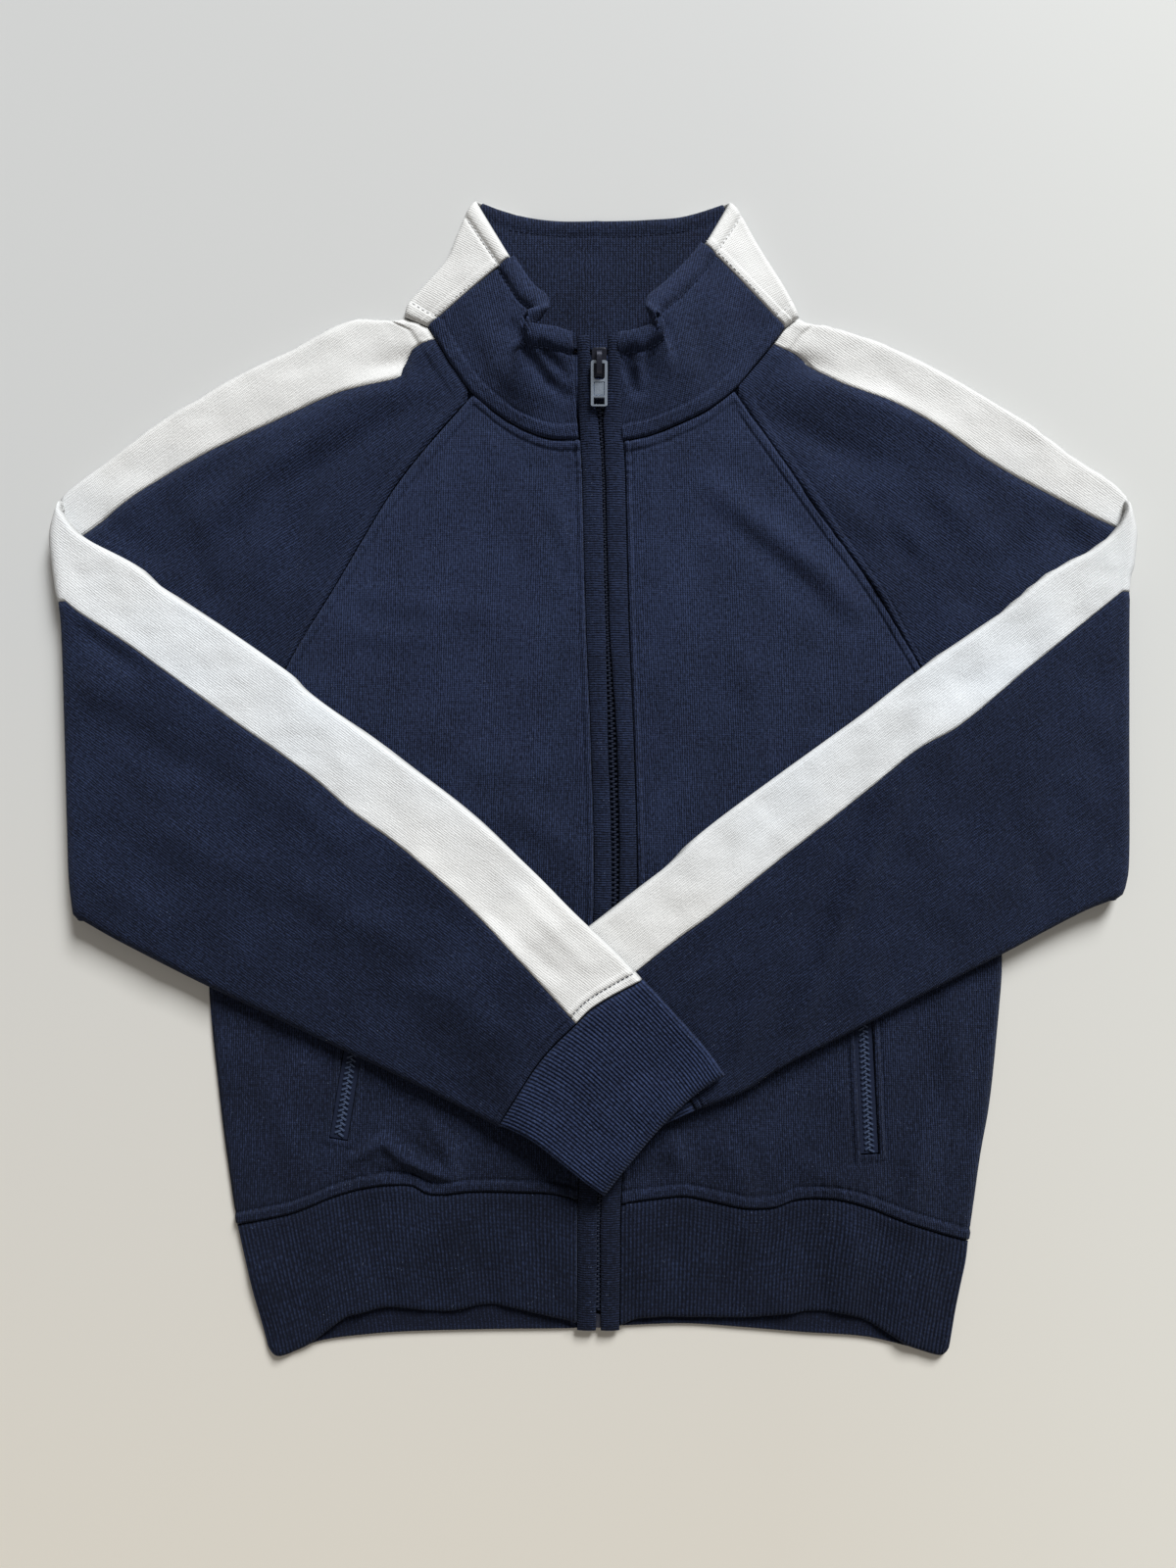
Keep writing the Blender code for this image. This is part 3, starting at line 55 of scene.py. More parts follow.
# zip line: x, y, height of the cloth beside it, half the opening between the bindings
zipLine = [
    (2.7, 232.0, 17.6, 4.9), (3.1, 213.7, 13.2, 4.7), (3.5, 199.0, 9.8, 2.6), (3.9, 189.7, 7.9, 1.3),
    (5.5, 164.4, 5.0, 1.0), (6.0, 143.5, 4.2, 1.0), (7.6, 80.8, 3.8, 1.1), (10.2, 18.1, 3.8, 2.5),
    (11.8, -55.2, 3.8, 2.2), (8.6, -138.8, 3.8, 1.1), (3.4, -223.5, 3.9, 1.0), (2.9, -259.0, 3.9, 1.0),
    (2.6, -294.6, 3.9, 1.3),
]


def smooth(x):
    x = min(1.0, max(0.0, x))
    return x * x * (3 - 2 * x)


def spline(table, count):  # evenly spaced points on a smooth line through the table
    points = [Vector(p) for p in table]
    ends = [points[0] * 2 - points[1], *points, points[-1] * 2 - points[-2]]
    dense = [points[0]]
    for a, b, c, d in zip(ends, ends[1:], ends[2:], ends[3:]):
        for k in range(1, 13):
            t = k / 12
            dense.append(0.5 * (2 * b + (c - a) * t + (2 * a - 5 * b + 4 * c - d) * t * t
                                + (3 * b - a - 3 * c + d) * t ** 3))
    run = [0.0]
    for p, q in zip(dense, dense[1:]):
        run.append(run[-1] + (q - p).length)
    line, k = [], 0
    for i in range(count + 1):
        goal = run[-1] * i / count
        while k < len(dense) - 2 and run[k + 1] < goal:
            k += 1
        line.append(dense[k].lerp(dense[k + 1], min(1.0, (goal - run[k]) / (run[k + 1] - run[k]))))
    return line


def at(line, share):
    place = min(1.0, max(0.0, share)) * (len(line) - 1)
    k = min(int(place), len(line) - 2)
    return line[k].lerp(line[k + 1], place - k)


def closer(bands, steps=1000, count=400):
    # rows closer together inside each band: start, end, how many times
    run = [0.0]
    for k in range(steps):
        x = (k + 0.5) / steps
        run.append(run[-1] + max([1.0, *(times for start, end, times in bands if start < x < end)]))
    places, k = [0.0], 0
    for j in range(1, count):
        goal = run[-1] * j / count
        while run[k + 1] < goal:
            k += 1
        places.append((k + (goal - run[k]) / (run[k + 1] - run[k])) / steps)
    places.append(1.0)

    def spread(v):
        place = min(1.0, max(0.0, v)) * count
        k = min(int(place), count - 1)
        return places[k] + (places[k + 1] - places[k]) * (place - k)
    return spread


def lengthOf(line):
    return sum((q - p).length for p, q in zip(line, line[1:]))


def patch(start, end, sideA, sideB, s00, s10, s01, s11, f, t):  # four edge points and four corners
    return (start.lerp(end, t) + sideA.lerp(sideB, f)) - s00.lerp(s10, f).lerp(s01.lerp(s11, f), t)


def rounding(edge, reach):  # 0 at a rounded edge, 1 from reach inwards
    return 1.0 if edge >= reach else math.sqrt(max(0.0, 1 - (1 - max(edge, 0.0) / reach) ** 2))


def plateau(d, start, end, soft=0.8):  # raised strip between two distances
    return smooth((d - start) / soft + 0.5) * smooth((end - d) / soft + 0.5)


zipTop, zipBottom = 232, -296
zipSmooth = spline([row[:3] for row in zipLine], 200)
zipPlaces = []
k = 0
for step in range(zipTop - zipBottom + 1):
    y = zipTop - step
    while k < len(zipSmooth) - 2 and zipSmooth[k + 1].y > y:
        k += 1
    a, b = zipSmooth[k], zipSmooth[k + 1]
    zipPlaces.append(a.lerp(b, min(1.0, max(0.0, (a.y - y) / (a.y - b.y)))))


def zipAt(y):
    place = min(len(zipPlaces) - 1.001, max(0.0, zipTop - y))
    k = int(place)
    return zipPlaces[k].lerp(zipPlaces[k + 1], place - k)


def zipOpening(y):
    for a, b in zip(zipLine, zipLine[1:]):
        if y >= b[1]:
            return a[3] + (b[3] - a[3]) * smooth((a[1] - max(min(y, a[1]), b[1])) / (a[1] - b[1]))
    return zipLine[-1][3]


drape = {"body": 1.6, "upper": 1.6, "forearm": 1.7, "collar": 1.3}  # strength of each table of creases below


def readyCreases(table, strength=1.0):  # rows: points of the line, then height (minus is a trough) and width
    ready = []
    for *points, rise, width in table:
        steps, run = [], 0.0
        for (x0, y0), (x1, y1) in zip(points, points[1:]):
            length = math.hypot(x1 - x0, y1 - y0)
            steps.append((x0, y0, x1 - x0, y1 - y0, length, run))
            run += length
        xs, ys, reach = [p[0] for p in points], [p[1] for p in points], 2.4 * width
        box = min(xs) - reach, max(xs) + reach, min(ys) - reach, max(ys) + reach
        ready.append((box, steps, run, rise * strength, width))
    return ready


def creases(ready, x, y):
    height = 0.0
    for (left, right, low, high), steps, run, rise, width in ready:
        if left < x < right and low < y < high:
            best = (1e9, 0.0)
            for x0, y0, dx, dy, length, start in steps:
                along = min(1.0, max(0.0, ((x - x0) * dx + (y - y0) * dy) / (length * length)))
                off = math.hypot(x - x0 - along * dx, y - y0 - along * dy)
                best = min(best, (off, start + along * length))
            off = best[0] / width
            if off < 2.4:  # fades towards both ends
                height += rise * math.exp(-off * off) * (0.45 + 0.55 * math.sin(math.pi * best[1] / run))
    return height


def ripple(x, y, size, seed=0.0):
    return noise.noise(Vector((x / size, y / size, seed)))


# how uneven each cloth lies: height, size and seed of each ripple
unevenness = {
    "body": ((0.5, 24.0, 0.0), (0.18, 8.0, 3.0)), "upper": ((0.9, 22.0, 1.0), (0.35, 8.0, 4.0)),
    "forearm": ((0.9, 22.0, 2.0), (0.35, 8.0, 5.0)), "cuff": ((1.1, 26.0, 6.0), (0.4, 11.0, 7.0)),
    "collarFront": ((0.4, 12.0, 9.0),), "collarStripe": ((0.5, 14.0, 10.0),),
    "collarInside": ((0.35, 18.0, 11.0),),
}


def uneven(kind, x, y):
    return sum(height * ripple(x, y, size, seed) for height, size, seed in unevenness[kind])


bodyFolds = readyCreases([
    ((-127, -206), (-80, -213), 0.9, 9), ((-92, -190), (-78, -217), 0.8, 7), ((60, -205), (78, -223), 0.7, 10),
    ((106, -212), (160, -222), 0.8, 9), ((-60, 150), (-20, 60), 0.5, 16), ((60, 150), (30, 40), 0.5, 16),
    ((-150, 20), (-140, -80), 0.5, 18), ((150, 10), (160, -90), 0.5, 18),
])
bodyCreases = readyCreases([
    ((62, 158), (92, 132), (116, 114), (138, 92), 1.9, 8),
    ((66, 140), (90, 124), (112, 104), (134, 82), -1.3, 8),
    ((-122, 98), (-92, 92), (-58, 90), 0.9, 7), ((-132, 80), (-104, 74), (-84, 76), 0.8, 7),
    ((-30, 158), (-20, 140), (-12, 116), 1.0, 5), ((-38, 150), (-30, 128), (-20, 104), 0.7, 7),
    ((-52, -14), (-26, -26), (-2, -50), 1.2, 9), ((-90, 30), (-60, 6), (-34, 0), 0.8, 10),
    ((30, 130), (46, 90), (40, 40), 0.7, 11), ((70, 70), (92, 46), (84, 10), 0.8, 12),
    ((-128, -203), (-112, -194), (-100, -203), (-80, -212), 2.5, 3.2),
    ((-90, -180), (-77, -199), (-74, -213), 2.0, 3.6),
    ((-118, -209), (-98, -213), (-84, -218), -1.5, 3.6), ((-104, -190), (-90, -202), (-82, -206), -1.4, 3.4),
    ((-182, -142), (-168, -176), (-156, -214), 1.2, 8), ((-160, -150), (-150, -186), 0.9, 8),
    ((22, -204), (40, -196), (54, -210), 1.0, 6), ((38, -186), (46, -206), (44, -222), 0.9, 6),
    ((66, -196), (78, -208), (84, -224), 1.0, 6), ((108, -204), (130, -214), (150, -212), 1.1, 7),
    ((176, -186), (170, -236), 1.0, 8), ((190, -120), (194, -170), 0.8, 9), ((-60, -200), (-36, -212), 0.8, 6),
    ((-22, 170), (-18, 150), 0.6, 5), ((34, 172), (30, 146), 0.7, 6), ((-60, 184), (-46, 170), 0.6, 8),
], drape["body"])
sleeveFolds = readyCreases([
    ((-262, 72), (-205, 40), 0.9, 9), ((-250, 40), (-190, 22), 0.6, 10), ((-98, 214), (-150, 196), 0.8, 8),
    ((-112, 188), (-190, 150), 0.7, 12), ((-180, 130), (-196, 70), 0.7, 12), ((108, 214), (160, 196), 0.8, 8),
    ((120, 186), (190, 150), 0.7, 12), ((240, 120), (215, 80), 0.7, 12), ((-60, -92), (0, -128), 0.5, 12),
    ((120, -60), (40, -120), 0.5, 14), ((230, 20), (160, -40), 0.5, 16),
])
upperCreases = readyCreases([
    ((-208, 138), (-180, 163), (-147, 183), (-100, 214), 1.5, 9), ((-114, 221), (-92, 224), -1.8, 5),
    ((-104, 196), (-134, 176), (-168, 156), -1.4, 8), ((-149, 178), (-155, 142), (-161, 112), -1.8, 6),
    ((-172, 150), (-176, 116), (-182, 92), 1.0, 8), ((-220, 137), (-210, 110), (-198, 84), -1.3, 7),
    ((-262, 140), (-246, 126), (-232, 120), -1.5, 6), ((-128, 160), (-138, 130), 0.9, 7),
    ((106, 210), (150, 199), (192, 184), 1.6, 8), ((124, 220), (104, 224), -1.8, 5),
    ((100, 190), (134, 175), (164, 166), -1.9, 8), ((118, 158), (146, 137), (168, 130), 1.0, 8),
    ((156, 134), (174, 110), -1.2, 6), ((200, 96), (222, 118), (246, 140), -1.6, 8),
    ((262, 132), (250, 122), -1.6, 7), ((186, 150), (206, 128), 1.0, 8), ((150, 110), (164, 88), 0.8, 7),
], drape["upper"])
forearmCreases = readyCreases([
    ((-278, 82), (-260, 70), (-240, 57), -1.9, 5), ((-284, 52), (-262, 46), (-246, 44), 1.0, 7),
    ((-262, 30), (-232, 14), (-190, -4), -1.2, 9), ((-180, 4), (-150, -16), (-130, -34), 1.1, 9),
    ((-240, -20), (-206, -40), (-170, -52), 1.0, 10), ((-150, -60), (-110, -84), (-78, -100), 1.0, 9),
    ((-100, -40), (-76, -60), (-50, -84), 0.7, 8), ((-60, -120), (-40, -140), 0.9, 7),
    ((-250, -60), (-222, -78), 0.9, 9), ((-44, -56), (-24, -76), (-4, -98), 0.35, 4),
    ((-60, -66), (-12, -108), -0.35, 4),
    ((190, 40), (175, 20), (151, -28), (130, -76), (108, -128), 1.5, 6),
    ((162, 26), (136, -30), (112, -84), -0.9, 7),
    ((222, 56), (200, 34), (176, 14), 1.1, 8), ((264, 30), (240, 12), (226, -14), 1.0, 9),
    ((92, -30), (76, -56), (56, -84), 0.9, 7), ((92, -112), (80, -134), (72, -152), 1.0, 6),
    ((240, -30), (214, -54), (186, -72), 1.1, 9), ((66, -96), (48, -112), 0.8, 5),
    ((150, -90), (136, -120), 0.8, 7),
    ((210, -10), (190, -34), -0.9, 9),
], drape["forearm"])
collarCreases = readyCreases([
    ((-42, 238), (-36, 226), (-24, 210), (-14, 202), -2.6, 4.0),
    ((-30, 231), (-22, 220), (-15, 212), -1.8, 3.0),
    ((-34, 230), (-28, 218), (-18, 207), 1.2, 3.2), ((-58, 240), (-50, 222), (-36, 204), 1.3, 7),
    ((20, 230), (18, 216), (22, 204), -1.8, 3.2), ((37, 236), (31, 222), (26, 206), -2.4, 4.0),
    ((27, 230), (24, 218), (25, 208), 1.2, 3.0), ((46, 234), (50, 218), (54, 204), 1.3, 7),
    ((70, 262), (66, 238), 0.7, 8), ((-66, 262), (-64, 240), 0.7, 8), ((-14, 212), (-12, 196), 0.8, 5),
], drape["collar"])


def neckLift(x, y):
    mid = zipAt(y)
    return (mid.z - cloth["bodyTop"]) * math.exp(-(((x - mid.x) / 46.0) ** 2))


def bodyTop(x, y):  # outer face of the front over the table
    wave = 0.22 * math.sin(x / 15.0 + y / 95.0) + 0.15 * math.sin(x / 8.5 - y / 60.0 + 1.0)
    height = cloth["bodyTop"] + neckLift(x, y) + wave * smooth((200.0 - y) / 60.0)
    height += creases(bodyFolds, x, y) + creases(bodyCreases, x, y)
    return max(height + uneven("body", x, y), cloth["bodyTop"] - 1.0)


def seam(d, depth=0.8, reach=1.0):  # dip at a sewn line
    return -depth * math.exp(-(d / reach) ** 2)


def pucker(d, run, height=0.16, reach=5.0):  # small gathers along a seam
    return height * math.sin(run / 0.9 + 2.0 * math.sin(run / 3.7)) * smooth(1 - d / reach)


sewing = {"turnedIn": 4.6, "stitchAt": 5.4}  # from a seam: edge of the turned-in cloth, and the stitch line


def raglanRidge(d, height):  # turned-in cloth beside the raglan seam, and its stitch line
    ridge = height * plateau(d, 0.9, sewing["turnedIn"], 1.6)
    return ridge + seam(d, 0.6, 1.1) + seam(d - sewing["stitchAt"], 0.25, 0.8)


def footBand(d, height, band):  # the band along the foot of the collar
    return height * plateau(d, 0.8, band) + seam(d, 0.7) + seam(d - band, 0.5, 0.8)


# materials

# painted light: the lit and low values lighten each navy towards the collar and darken it towards the hem;
# bodyNavy is painted lighter than sleeveNavy and ribNavy, a painted sheen of the nap where the light catches
# the body
palette = {
    "bodyNavy": {"dark": (0.0035, 0.0052, 0.0135), "light": (0.029, 0.043, 0.100), "lit": 0.26, "low": 0.24},
    "sleeveNavy": {"dark": (0.0038, 0.0058, 0.0150), "light": (0.025, 0.038, 0.090), "lit": 0.16, "low": 0.18},
    "ribNavy": {"dark": (0.0032, 0.0046, 0.0115), "light": (0.020, 0.031, 0.074), "lit": 0.16, "low": 0.2},
    "cuffNavy": {"dark": (0.0045, 0.0065, 0.0160), "light": (0.029, 0.044, 0.104), "lit": 0.3, "low": -0.04},
    "insideNavyShaded": {"dark": (0.0032, 0.0048, 0.0125), "light": (0.024, 0.036, 0.084), "lit": 0.05, "low": 0.0},
    "white": {"dark": (0.745, 0.745, 0.75), "light": (0.885, 0.89, 0.895), "lit": -0.1, "low": 0.85,
              "between": (0.16, 0.03)},
    "whiteEdgeShade": (0.47, 0.47, 0.46), "whiteWarm": (1.0, 0.99, 0.96), "whiteCool": (0.935, 0.97, 1.0),
    "paintedLightPeak": 0.055,  # how far up the garment the white is painted bluest and lightest, where the daylight falls most
    "daylightTintFade": -7.0, "patchMiddle": 0.4, "facing": (0.3, 0.96), "between": (-0.26, 0.12),
}


def newGroup(name, inputs, outputs):
    group = bpy.data.node_groups.new(name, "ShaderNodeTree")
    for label, value in inputs.items():
        socket = group.interface.new_socket(name=label, in_out="INPUT", socket_type="NodeSocketFloat")
        socket.default_value = value
    for label in outputs:
        group.interface.new_socket(name=label, in_out="OUTPUT", socket_type="NodeSocketFloat")
    return group, group.nodes.new("NodeGroupInput"), group.nodes.new("NodeGroupOutput")


def math2(tree, kind, a, b=None, c=None):
    node = tree.nodes.new("ShaderNodeMath")
    node.operation = kind
    for socket, value in zip(node.inputs, (a, b, c)):
        if value is None:
            continue
        if isinstance(value, (int, float)):
            socket.default_value = value
        else:
            tree.links.new(value, socket)
    return node.outputs[0]


def noiseOf(tree, vector, scale, detail=2.0, rough=0.5):
    node = tree.nodes.new("ShaderNodeTexNoise")
    node.inputs["Scale"].default_value = scale
    node.inputs["Detail"].default_value = detail
    node.inputs["Roughness"].default_value = rough
    tree.links.new(vector, node.inputs["Vector"])
    return node.outputs["Fac"]


def rangeOf(tree, value, start, end, low=0.0, high=1.0):  # start to end becomes low to high
    node = tree.nodes.new("ShaderNodeMapRange")
    for label, number in (("From Min", start), ("From Max", end), ("To Min", low), ("To Max", high)):
        node.inputs[label].default_value = number
    tree.links.new(value, node.inputs["Value"])
    return node.outputs[0]


def placeOf(tree):  # a point of the object, whole and as x, y and z
    place = tree.nodes.new("ShaderNodeTexCoord").outputs["Object"]
    split = tree.nodes.new("ShaderNodeSeparateXYZ")
    tree.links.new(place, split.inputs[0])
    return place, split.outputs


def bumpOf(tree, shader, height, depth):
    bump = tree.nodes.new("ShaderNodeBump")
    bump.inputs["Strength"].default_value = 1.0
    bump.inputs["Distance"].default_value = depth * mm
    tree.links.new(height, bump.inputs["Height"])
    tree.links.new(bump.outputs[0], shader.inputs["Normal"])


def knitGroup():  # wales along v, courses along u, in millimetres of cloth
    group, given, out = newGroup(
        "knitFace", {"Pitch": 1.2, "Wale": 1.0, "Course": 0.4, "Fuzz": 0.6, "Streak": 0.5, "Wobble": 1.1},
        ("Height", "Shade"))

    def calc(kind, *terms):
        return math2(group, kind, *terms)

    grain = group.nodes.new("ShaderNodeUVMap")
    grain.uv_map = "grain"
    place = group.nodes.new("ShaderNodeTexCoord").outputs["Object"]
    split = group.nodes.new("ShaderNodeSeparateXYZ")
    group.links.new(grain.outputs[0], split.inputs[0])
    u, v = split.outputs[0], split.outputs[1]

    def stretched(acrossSize, alongSize, detail):  # noise drawn out along the wales
        joined = group.nodes.new("ShaderNodeCombineXYZ")
        group.links.new(calc("DIVIDE", u, acrossSize), joined.inputs[0])
        group.links.new(calc("DIVIDE", v, alongSize), joined.inputs[1])
        return calc("SUBTRACT", noiseOf(group, joined.outputs[0], 1.0, detail, 0.6), 0.5)

    wobble = calc("MULTIPLY", stretched(2.4, 9.0, 2.0), given.outputs["Wobble"])
    across = calc("ADD", calc("DIVIDE", u, given.outputs["Pitch"]), wobble)
    wale = calc("ABSOLUTE", calc("SINE", calc("MULTIPLY", across, math.pi)))
    along = calc("DIVIDE", v, calc("MULTIPLY", given.outputs["Pitch"], 0.8))
    lean = calc("MULTIPLY", wale, 0.5)
    course = calc("SINE", calc("MULTIPLY", calc("ADD", along, lean), 2 * math.pi))
    loops = stretched(1.2, 1.9, 3.0)
    streaks = calc("MULTIPLY", stretched(1.7, 26.0, 2.0), given.outputs["Streak"])
    fuzz = calc("SUBTRACT", noiseOf(group, place, 2600.0, 3.0, 0.7), 0.5)
    broad = calc("SUBTRACT", noiseOf(group, place, 34.0, 4.0, 0.6), 0.5)
    raised = calc("MULTIPLY", course, calc("MULTIPLY", given.outputs["Course"], 0.35))
    height = calc("ADD", calc("MULTIPLY", wale, given.outputs["Wale"]), raised)
    height = calc("ADD", height, calc("MULTIPLY", fuzz, given.outputs["Fuzz"]))
    height = calc("ADD", height, calc("MULTIPLY", loops, 1.2))
    shade = calc("ADD", calc("MULTIPLY", wale, 0.75), calc("MULTIPLY", fuzz, 1.1))
    shade = calc("SUBTRACT", shade, 0.22)
    for part, amount in ((broad, 0.6), (course, 0.12), (loops, 2.2), (streaks, 0.7)):
        shade = calc("ADD", shade, calc("MULTIPLY", part, amount))
    group.links.new(height, out.inputs["Height"])
    group.links.new(shade, out.inputs["Shade"])
    return group


def lintGroup():  # sparse pale specks and short fibres lying on the nap
    group, given, out = newGroup("napLint", {"Amount": 0.5}, ("Mask",))
    place = group.nodes.new("ShaderNodeTexCoord").outputs["Object"]
    specks = group.nodes.new("ShaderNodeTexVoronoi")
    specks.inputs["Scale"].default_value = 420.0
    group.links.new(place, specks.inputs["Vector"])
    small = math2(group, "LESS_THAN", specks.outputs["Distance"], 0.11)
    some = math2(group, "GREATER_THAN", noiseOf(group, place, 75.0, 1.0), 0.62)
    mask = math2(group, "MULTIPLY", math2(group, "MULTIPLY", small, some), given.outputs["Amount"])
    group.links.new(mask, out.inputs["Mask"])
    return group


knitFace = knitGroup()
napLint = lintGroup()


def principled(name, roughness, metallic=0.0):
    made = bpy.data.materials.new(name)
    made.use_nodes = True
    shader = made.node_tree.nodes["Principled BSDF"]
    shader.inputs["Roughness"].default_value = roughness
    shader.inputs["Metallic"].default_value = metallic
    return made, made.node_tree, shader


def mixColour(tree, factor, a, b, way="MIX"):
    node = tree.nodes.new("ShaderNodeMix")
    node.data_type, node.blend_type = "RGBA", way
    if factor is None:
        node.inputs["Factor"].default_value = 1.0
    else:
        tree.links.new(factor, node.inputs["Factor"])
    for socket, value in ((node.inputs[6], a), (node.inputs[7], b)):
        if isinstance(value, tuple):
            socket.default_value = (*value, 1.0)
        else:
            tree.links.new(value, socket)
    return node.outputs[2]


def knitMaterial(name, colours, pitch=1.2, wale=1.0, course=0.4, fuzz=0.6, streak=0.5, wobble=1.1,
                 depth=0.4, sheen=0.06, tint=(0.55, 0.66, 1.0), lint=0.5, lintColour=(0.12, 0.15, 0.23),
                 pale=False):
    made, tree, shader = principled(name, 0.93)
    face = tree.nodes.new("ShaderNodeGroup")
    face.node_tree = knitFace
    for label, value in (("Pitch", pitch), ("Wale", wale), ("Course", course), ("Fuzz", fuzz),
                         ("Streak", streak), ("Wobble", wobble)):
        face.inputs[label].default_value = value
    specks = tree.nodes.new("ShaderNodeGroup")
    specks.node_tree = napLint
    specks.inputs["Amount"].default_value = lint
    # painted light: each navy is painted lighter towards the collar and darker towards the hem, as the light
    # falls from the top; the white is painted lightest near one height and darker above and below it
    place, axes = placeOf(tree)
    height = axes[1]
    if pale:
        height = math2(tree, "ABSOLUTE", math2(tree, "SUBTRACT", height, palette["paintedLightPeak"]))
    start, end = colours.get("between", palette["between"])
    paintedLight = rangeOf(tree, height, start, end, -colours["low"], colours["lit"])
    shade = math2(tree, "ADD", face.outputs["Shade"], paintedLight)
    colour = mixColour(tree, shade, colours["dark"], colours["light"])
    if pale:  # warm and cool patches, partly random tone and partly a painted cool tint where the daylight falls, and painted shade on edges that turn down
        toneAndDaylightTint = math2(tree, "MULTIPLY_ADD", height, palette["daylightTintFade"], noiseOf(tree, place, 15.0, 2.0))
        toneAndDaylightTint = math2(tree, "ADD", toneAndDaylightTint, palette["patchMiddle"])
        toneAndDaylightTint = mixColour(tree, toneAndDaylightTint, palette["whiteWarm"], palette["whiteCool"])
        colour = mixColour(tree, None, colour, toneAndDaylightTint, "MULTIPLY")
        # painted shade: the white is darkened where its face turns down on the rounded edges, away from the
        # light above
        facing = tree.nodes.new("ShaderNodeAttribute")
        facing.attribute_name = "facing"
        turn = rangeOf(tree, facing.outputs["Fac"], *palette["facing"])
        colour = mixColour(tree, turn, palette["whiteEdgeShade"], colour)
    colour = mixColour(tree, specks.outputs["Mask"], colour, lintColour)
    tree.links.new(colour, shader.inputs["Base Color"])
    bumpOf(tree, shader, face.outputs["Height"], depth)
    shader.inputs["Sheen Weight"].default_value = sheen
    shader.inputs["Sheen Roughness"].default_value = 0.5
    shader.inputs["Sheen Tint"].default_value = (*tint, 1.0)
    shader.inputs["Specular IOR Level"].default_value = 0.15
    return made


bodyNavy = knitMaterial("bodyNavy", palette["bodyNavy"])
sleeveNavy = knitMaterial("sleeveNavy", palette["sleeveNavy"], course=0.7, wale=0.7, streak=0.3)
ribNavy = knitMaterial("ribNavy", palette["ribNavy"], pitch=cloth["ribPitch"], wale=0.6, course=0.2,
                       streak=0.6, depth=0.25, wobble=0.3)
cuffNavy = knitMaterial("cuffNavy", palette["cuffNavy"], pitch=cloth["ribPitch"], wale=0.7, course=0.2,
                        streak=0.5, depth=0.25, wobble=0.3)
bindingNavy = knitMaterial("bindingNavy", palette["ribNavy"], pitch=1.25, wale=0.9, course=0.3, streak=0.3,
                           depth=0.35)
# painted shade: a darker copy of the navy for the inside of the collar, where the collar's shade falls
insideNavyShaded = knitMaterial("insideNavyShaded", palette["insideNavyShaded"], pitch=1.5, wale=1.0, course=0.6, depth=0.3)
whiteKnit = knitMaterial("whiteKnit", palette["white"], pitch=1.1, wale=0.6, course=0.6, fuzz=0.5,
                         streak=0.2, depth=0.2, sheen=0.1, tint=(1.0, 1.0, 1.0), lint=0.25,
                         lintColour=(0.45, 0.45, 0.46), pale=True)


def plainMaterial(name, dark, light, roughness, metallic=0.0, scale=900.0, depth=0.05, shine=0.5):
    made, tree, shader = principled(name, roughness, metallic)
    shader.inputs["Specular IOR Level"].default_value = shine
    place = tree.nodes.new("ShaderNodeTexCoord").outputs["Object"]
    grain = noiseOf(tree, place, scale, 3.0, 0.6)
    tree.links.new(mixColour(tree, grain, dark, light), shader.inputs["Base Color"])
    rough = rangeOf(tree, grain, 0.0, 1.0, max(0.05, roughness - 0.1), min(1.0, roughness + 0.12))
    tree.links.new(rough, shader.inputs["Roughness"])
    bumpOf(tree, shader, grain, depth)
    return made


threadNavy = plainMaterial("threadNavy", (0.006, 0.009, 0.022), (0.018, 0.025, 0.055), 0.75, scale=2500.0,
                           shine=0.15)
threadWhite = plainMaterial("threadWhite", (0.6, 0.61, 0.63), (0.8, 0.81, 0.82), 0.8, scale=2500.0)
tapeNavy = plainMaterial("tapeNavy", (0.008, 0.011, 0.026), (0.016, 0.022, 0.045), 0.85, scale=1800.0,
                         depth=0.15, shine=0.1)
toothNavy = plainMaterial("toothNavy", (0.005, 0.008, 0.019), (0.014, 0.020, 0.042), 0.5, scale=700.0,
                          shine=0.2)
toothSteel = plainMaterial("toothSteel", (0.012, 0.020, 0.048), (0.060, 0.085, 0.150), 0.5, shine=0.25)
sliderDark = plainMaterial("sliderDark", (0.014, 0.016, 0.028), (0.034, 0.037, 0.056), 0.36, 0.5)
pullSteel = plainMaterial("pullSteel", (0.26, 0.31, 0.39), (0.48, 0.55, 0.65), 0.36, 0.55, scale=1400.0)
print("materials made")


# making and dressing a piece

def finish(bm, name, look, slot, replaced, rides=body, smoothAngle=60):
    mesh = bpy.data.meshes.new(name)
    bm.to_mesh(mesh)
    bm.free()
    mesh.shade_smooth()
    if smoothAngle < 180:
        mesh.set_sharp_from_angle(angle=math.radians(smoothAngle))
    mesh.materials.append(look)
    made = bpy.data.objects.new(name, mesh)
    bpy.context.scene.collection.objects.link(made)
    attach(made, rides)
    if replaced:
        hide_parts(*replaced)
    return made


def softEdges(made, width, segments=1, angle=30):
    edge = made.modifiers.new("soft edges", "BEVEL")
    edge.width, edge.segments, edge.limit_method = width * mm, segments, "ANGLE"
    edge.angle_limit = math.radians(angle)


def bevelled(bm, edges, offset, segments=2):
    bmesh.ops.bevel(bm, geom=edges, offset=offset * mm, segments=segments, affect="EDGES", profile=0.5,
                    material=-1)


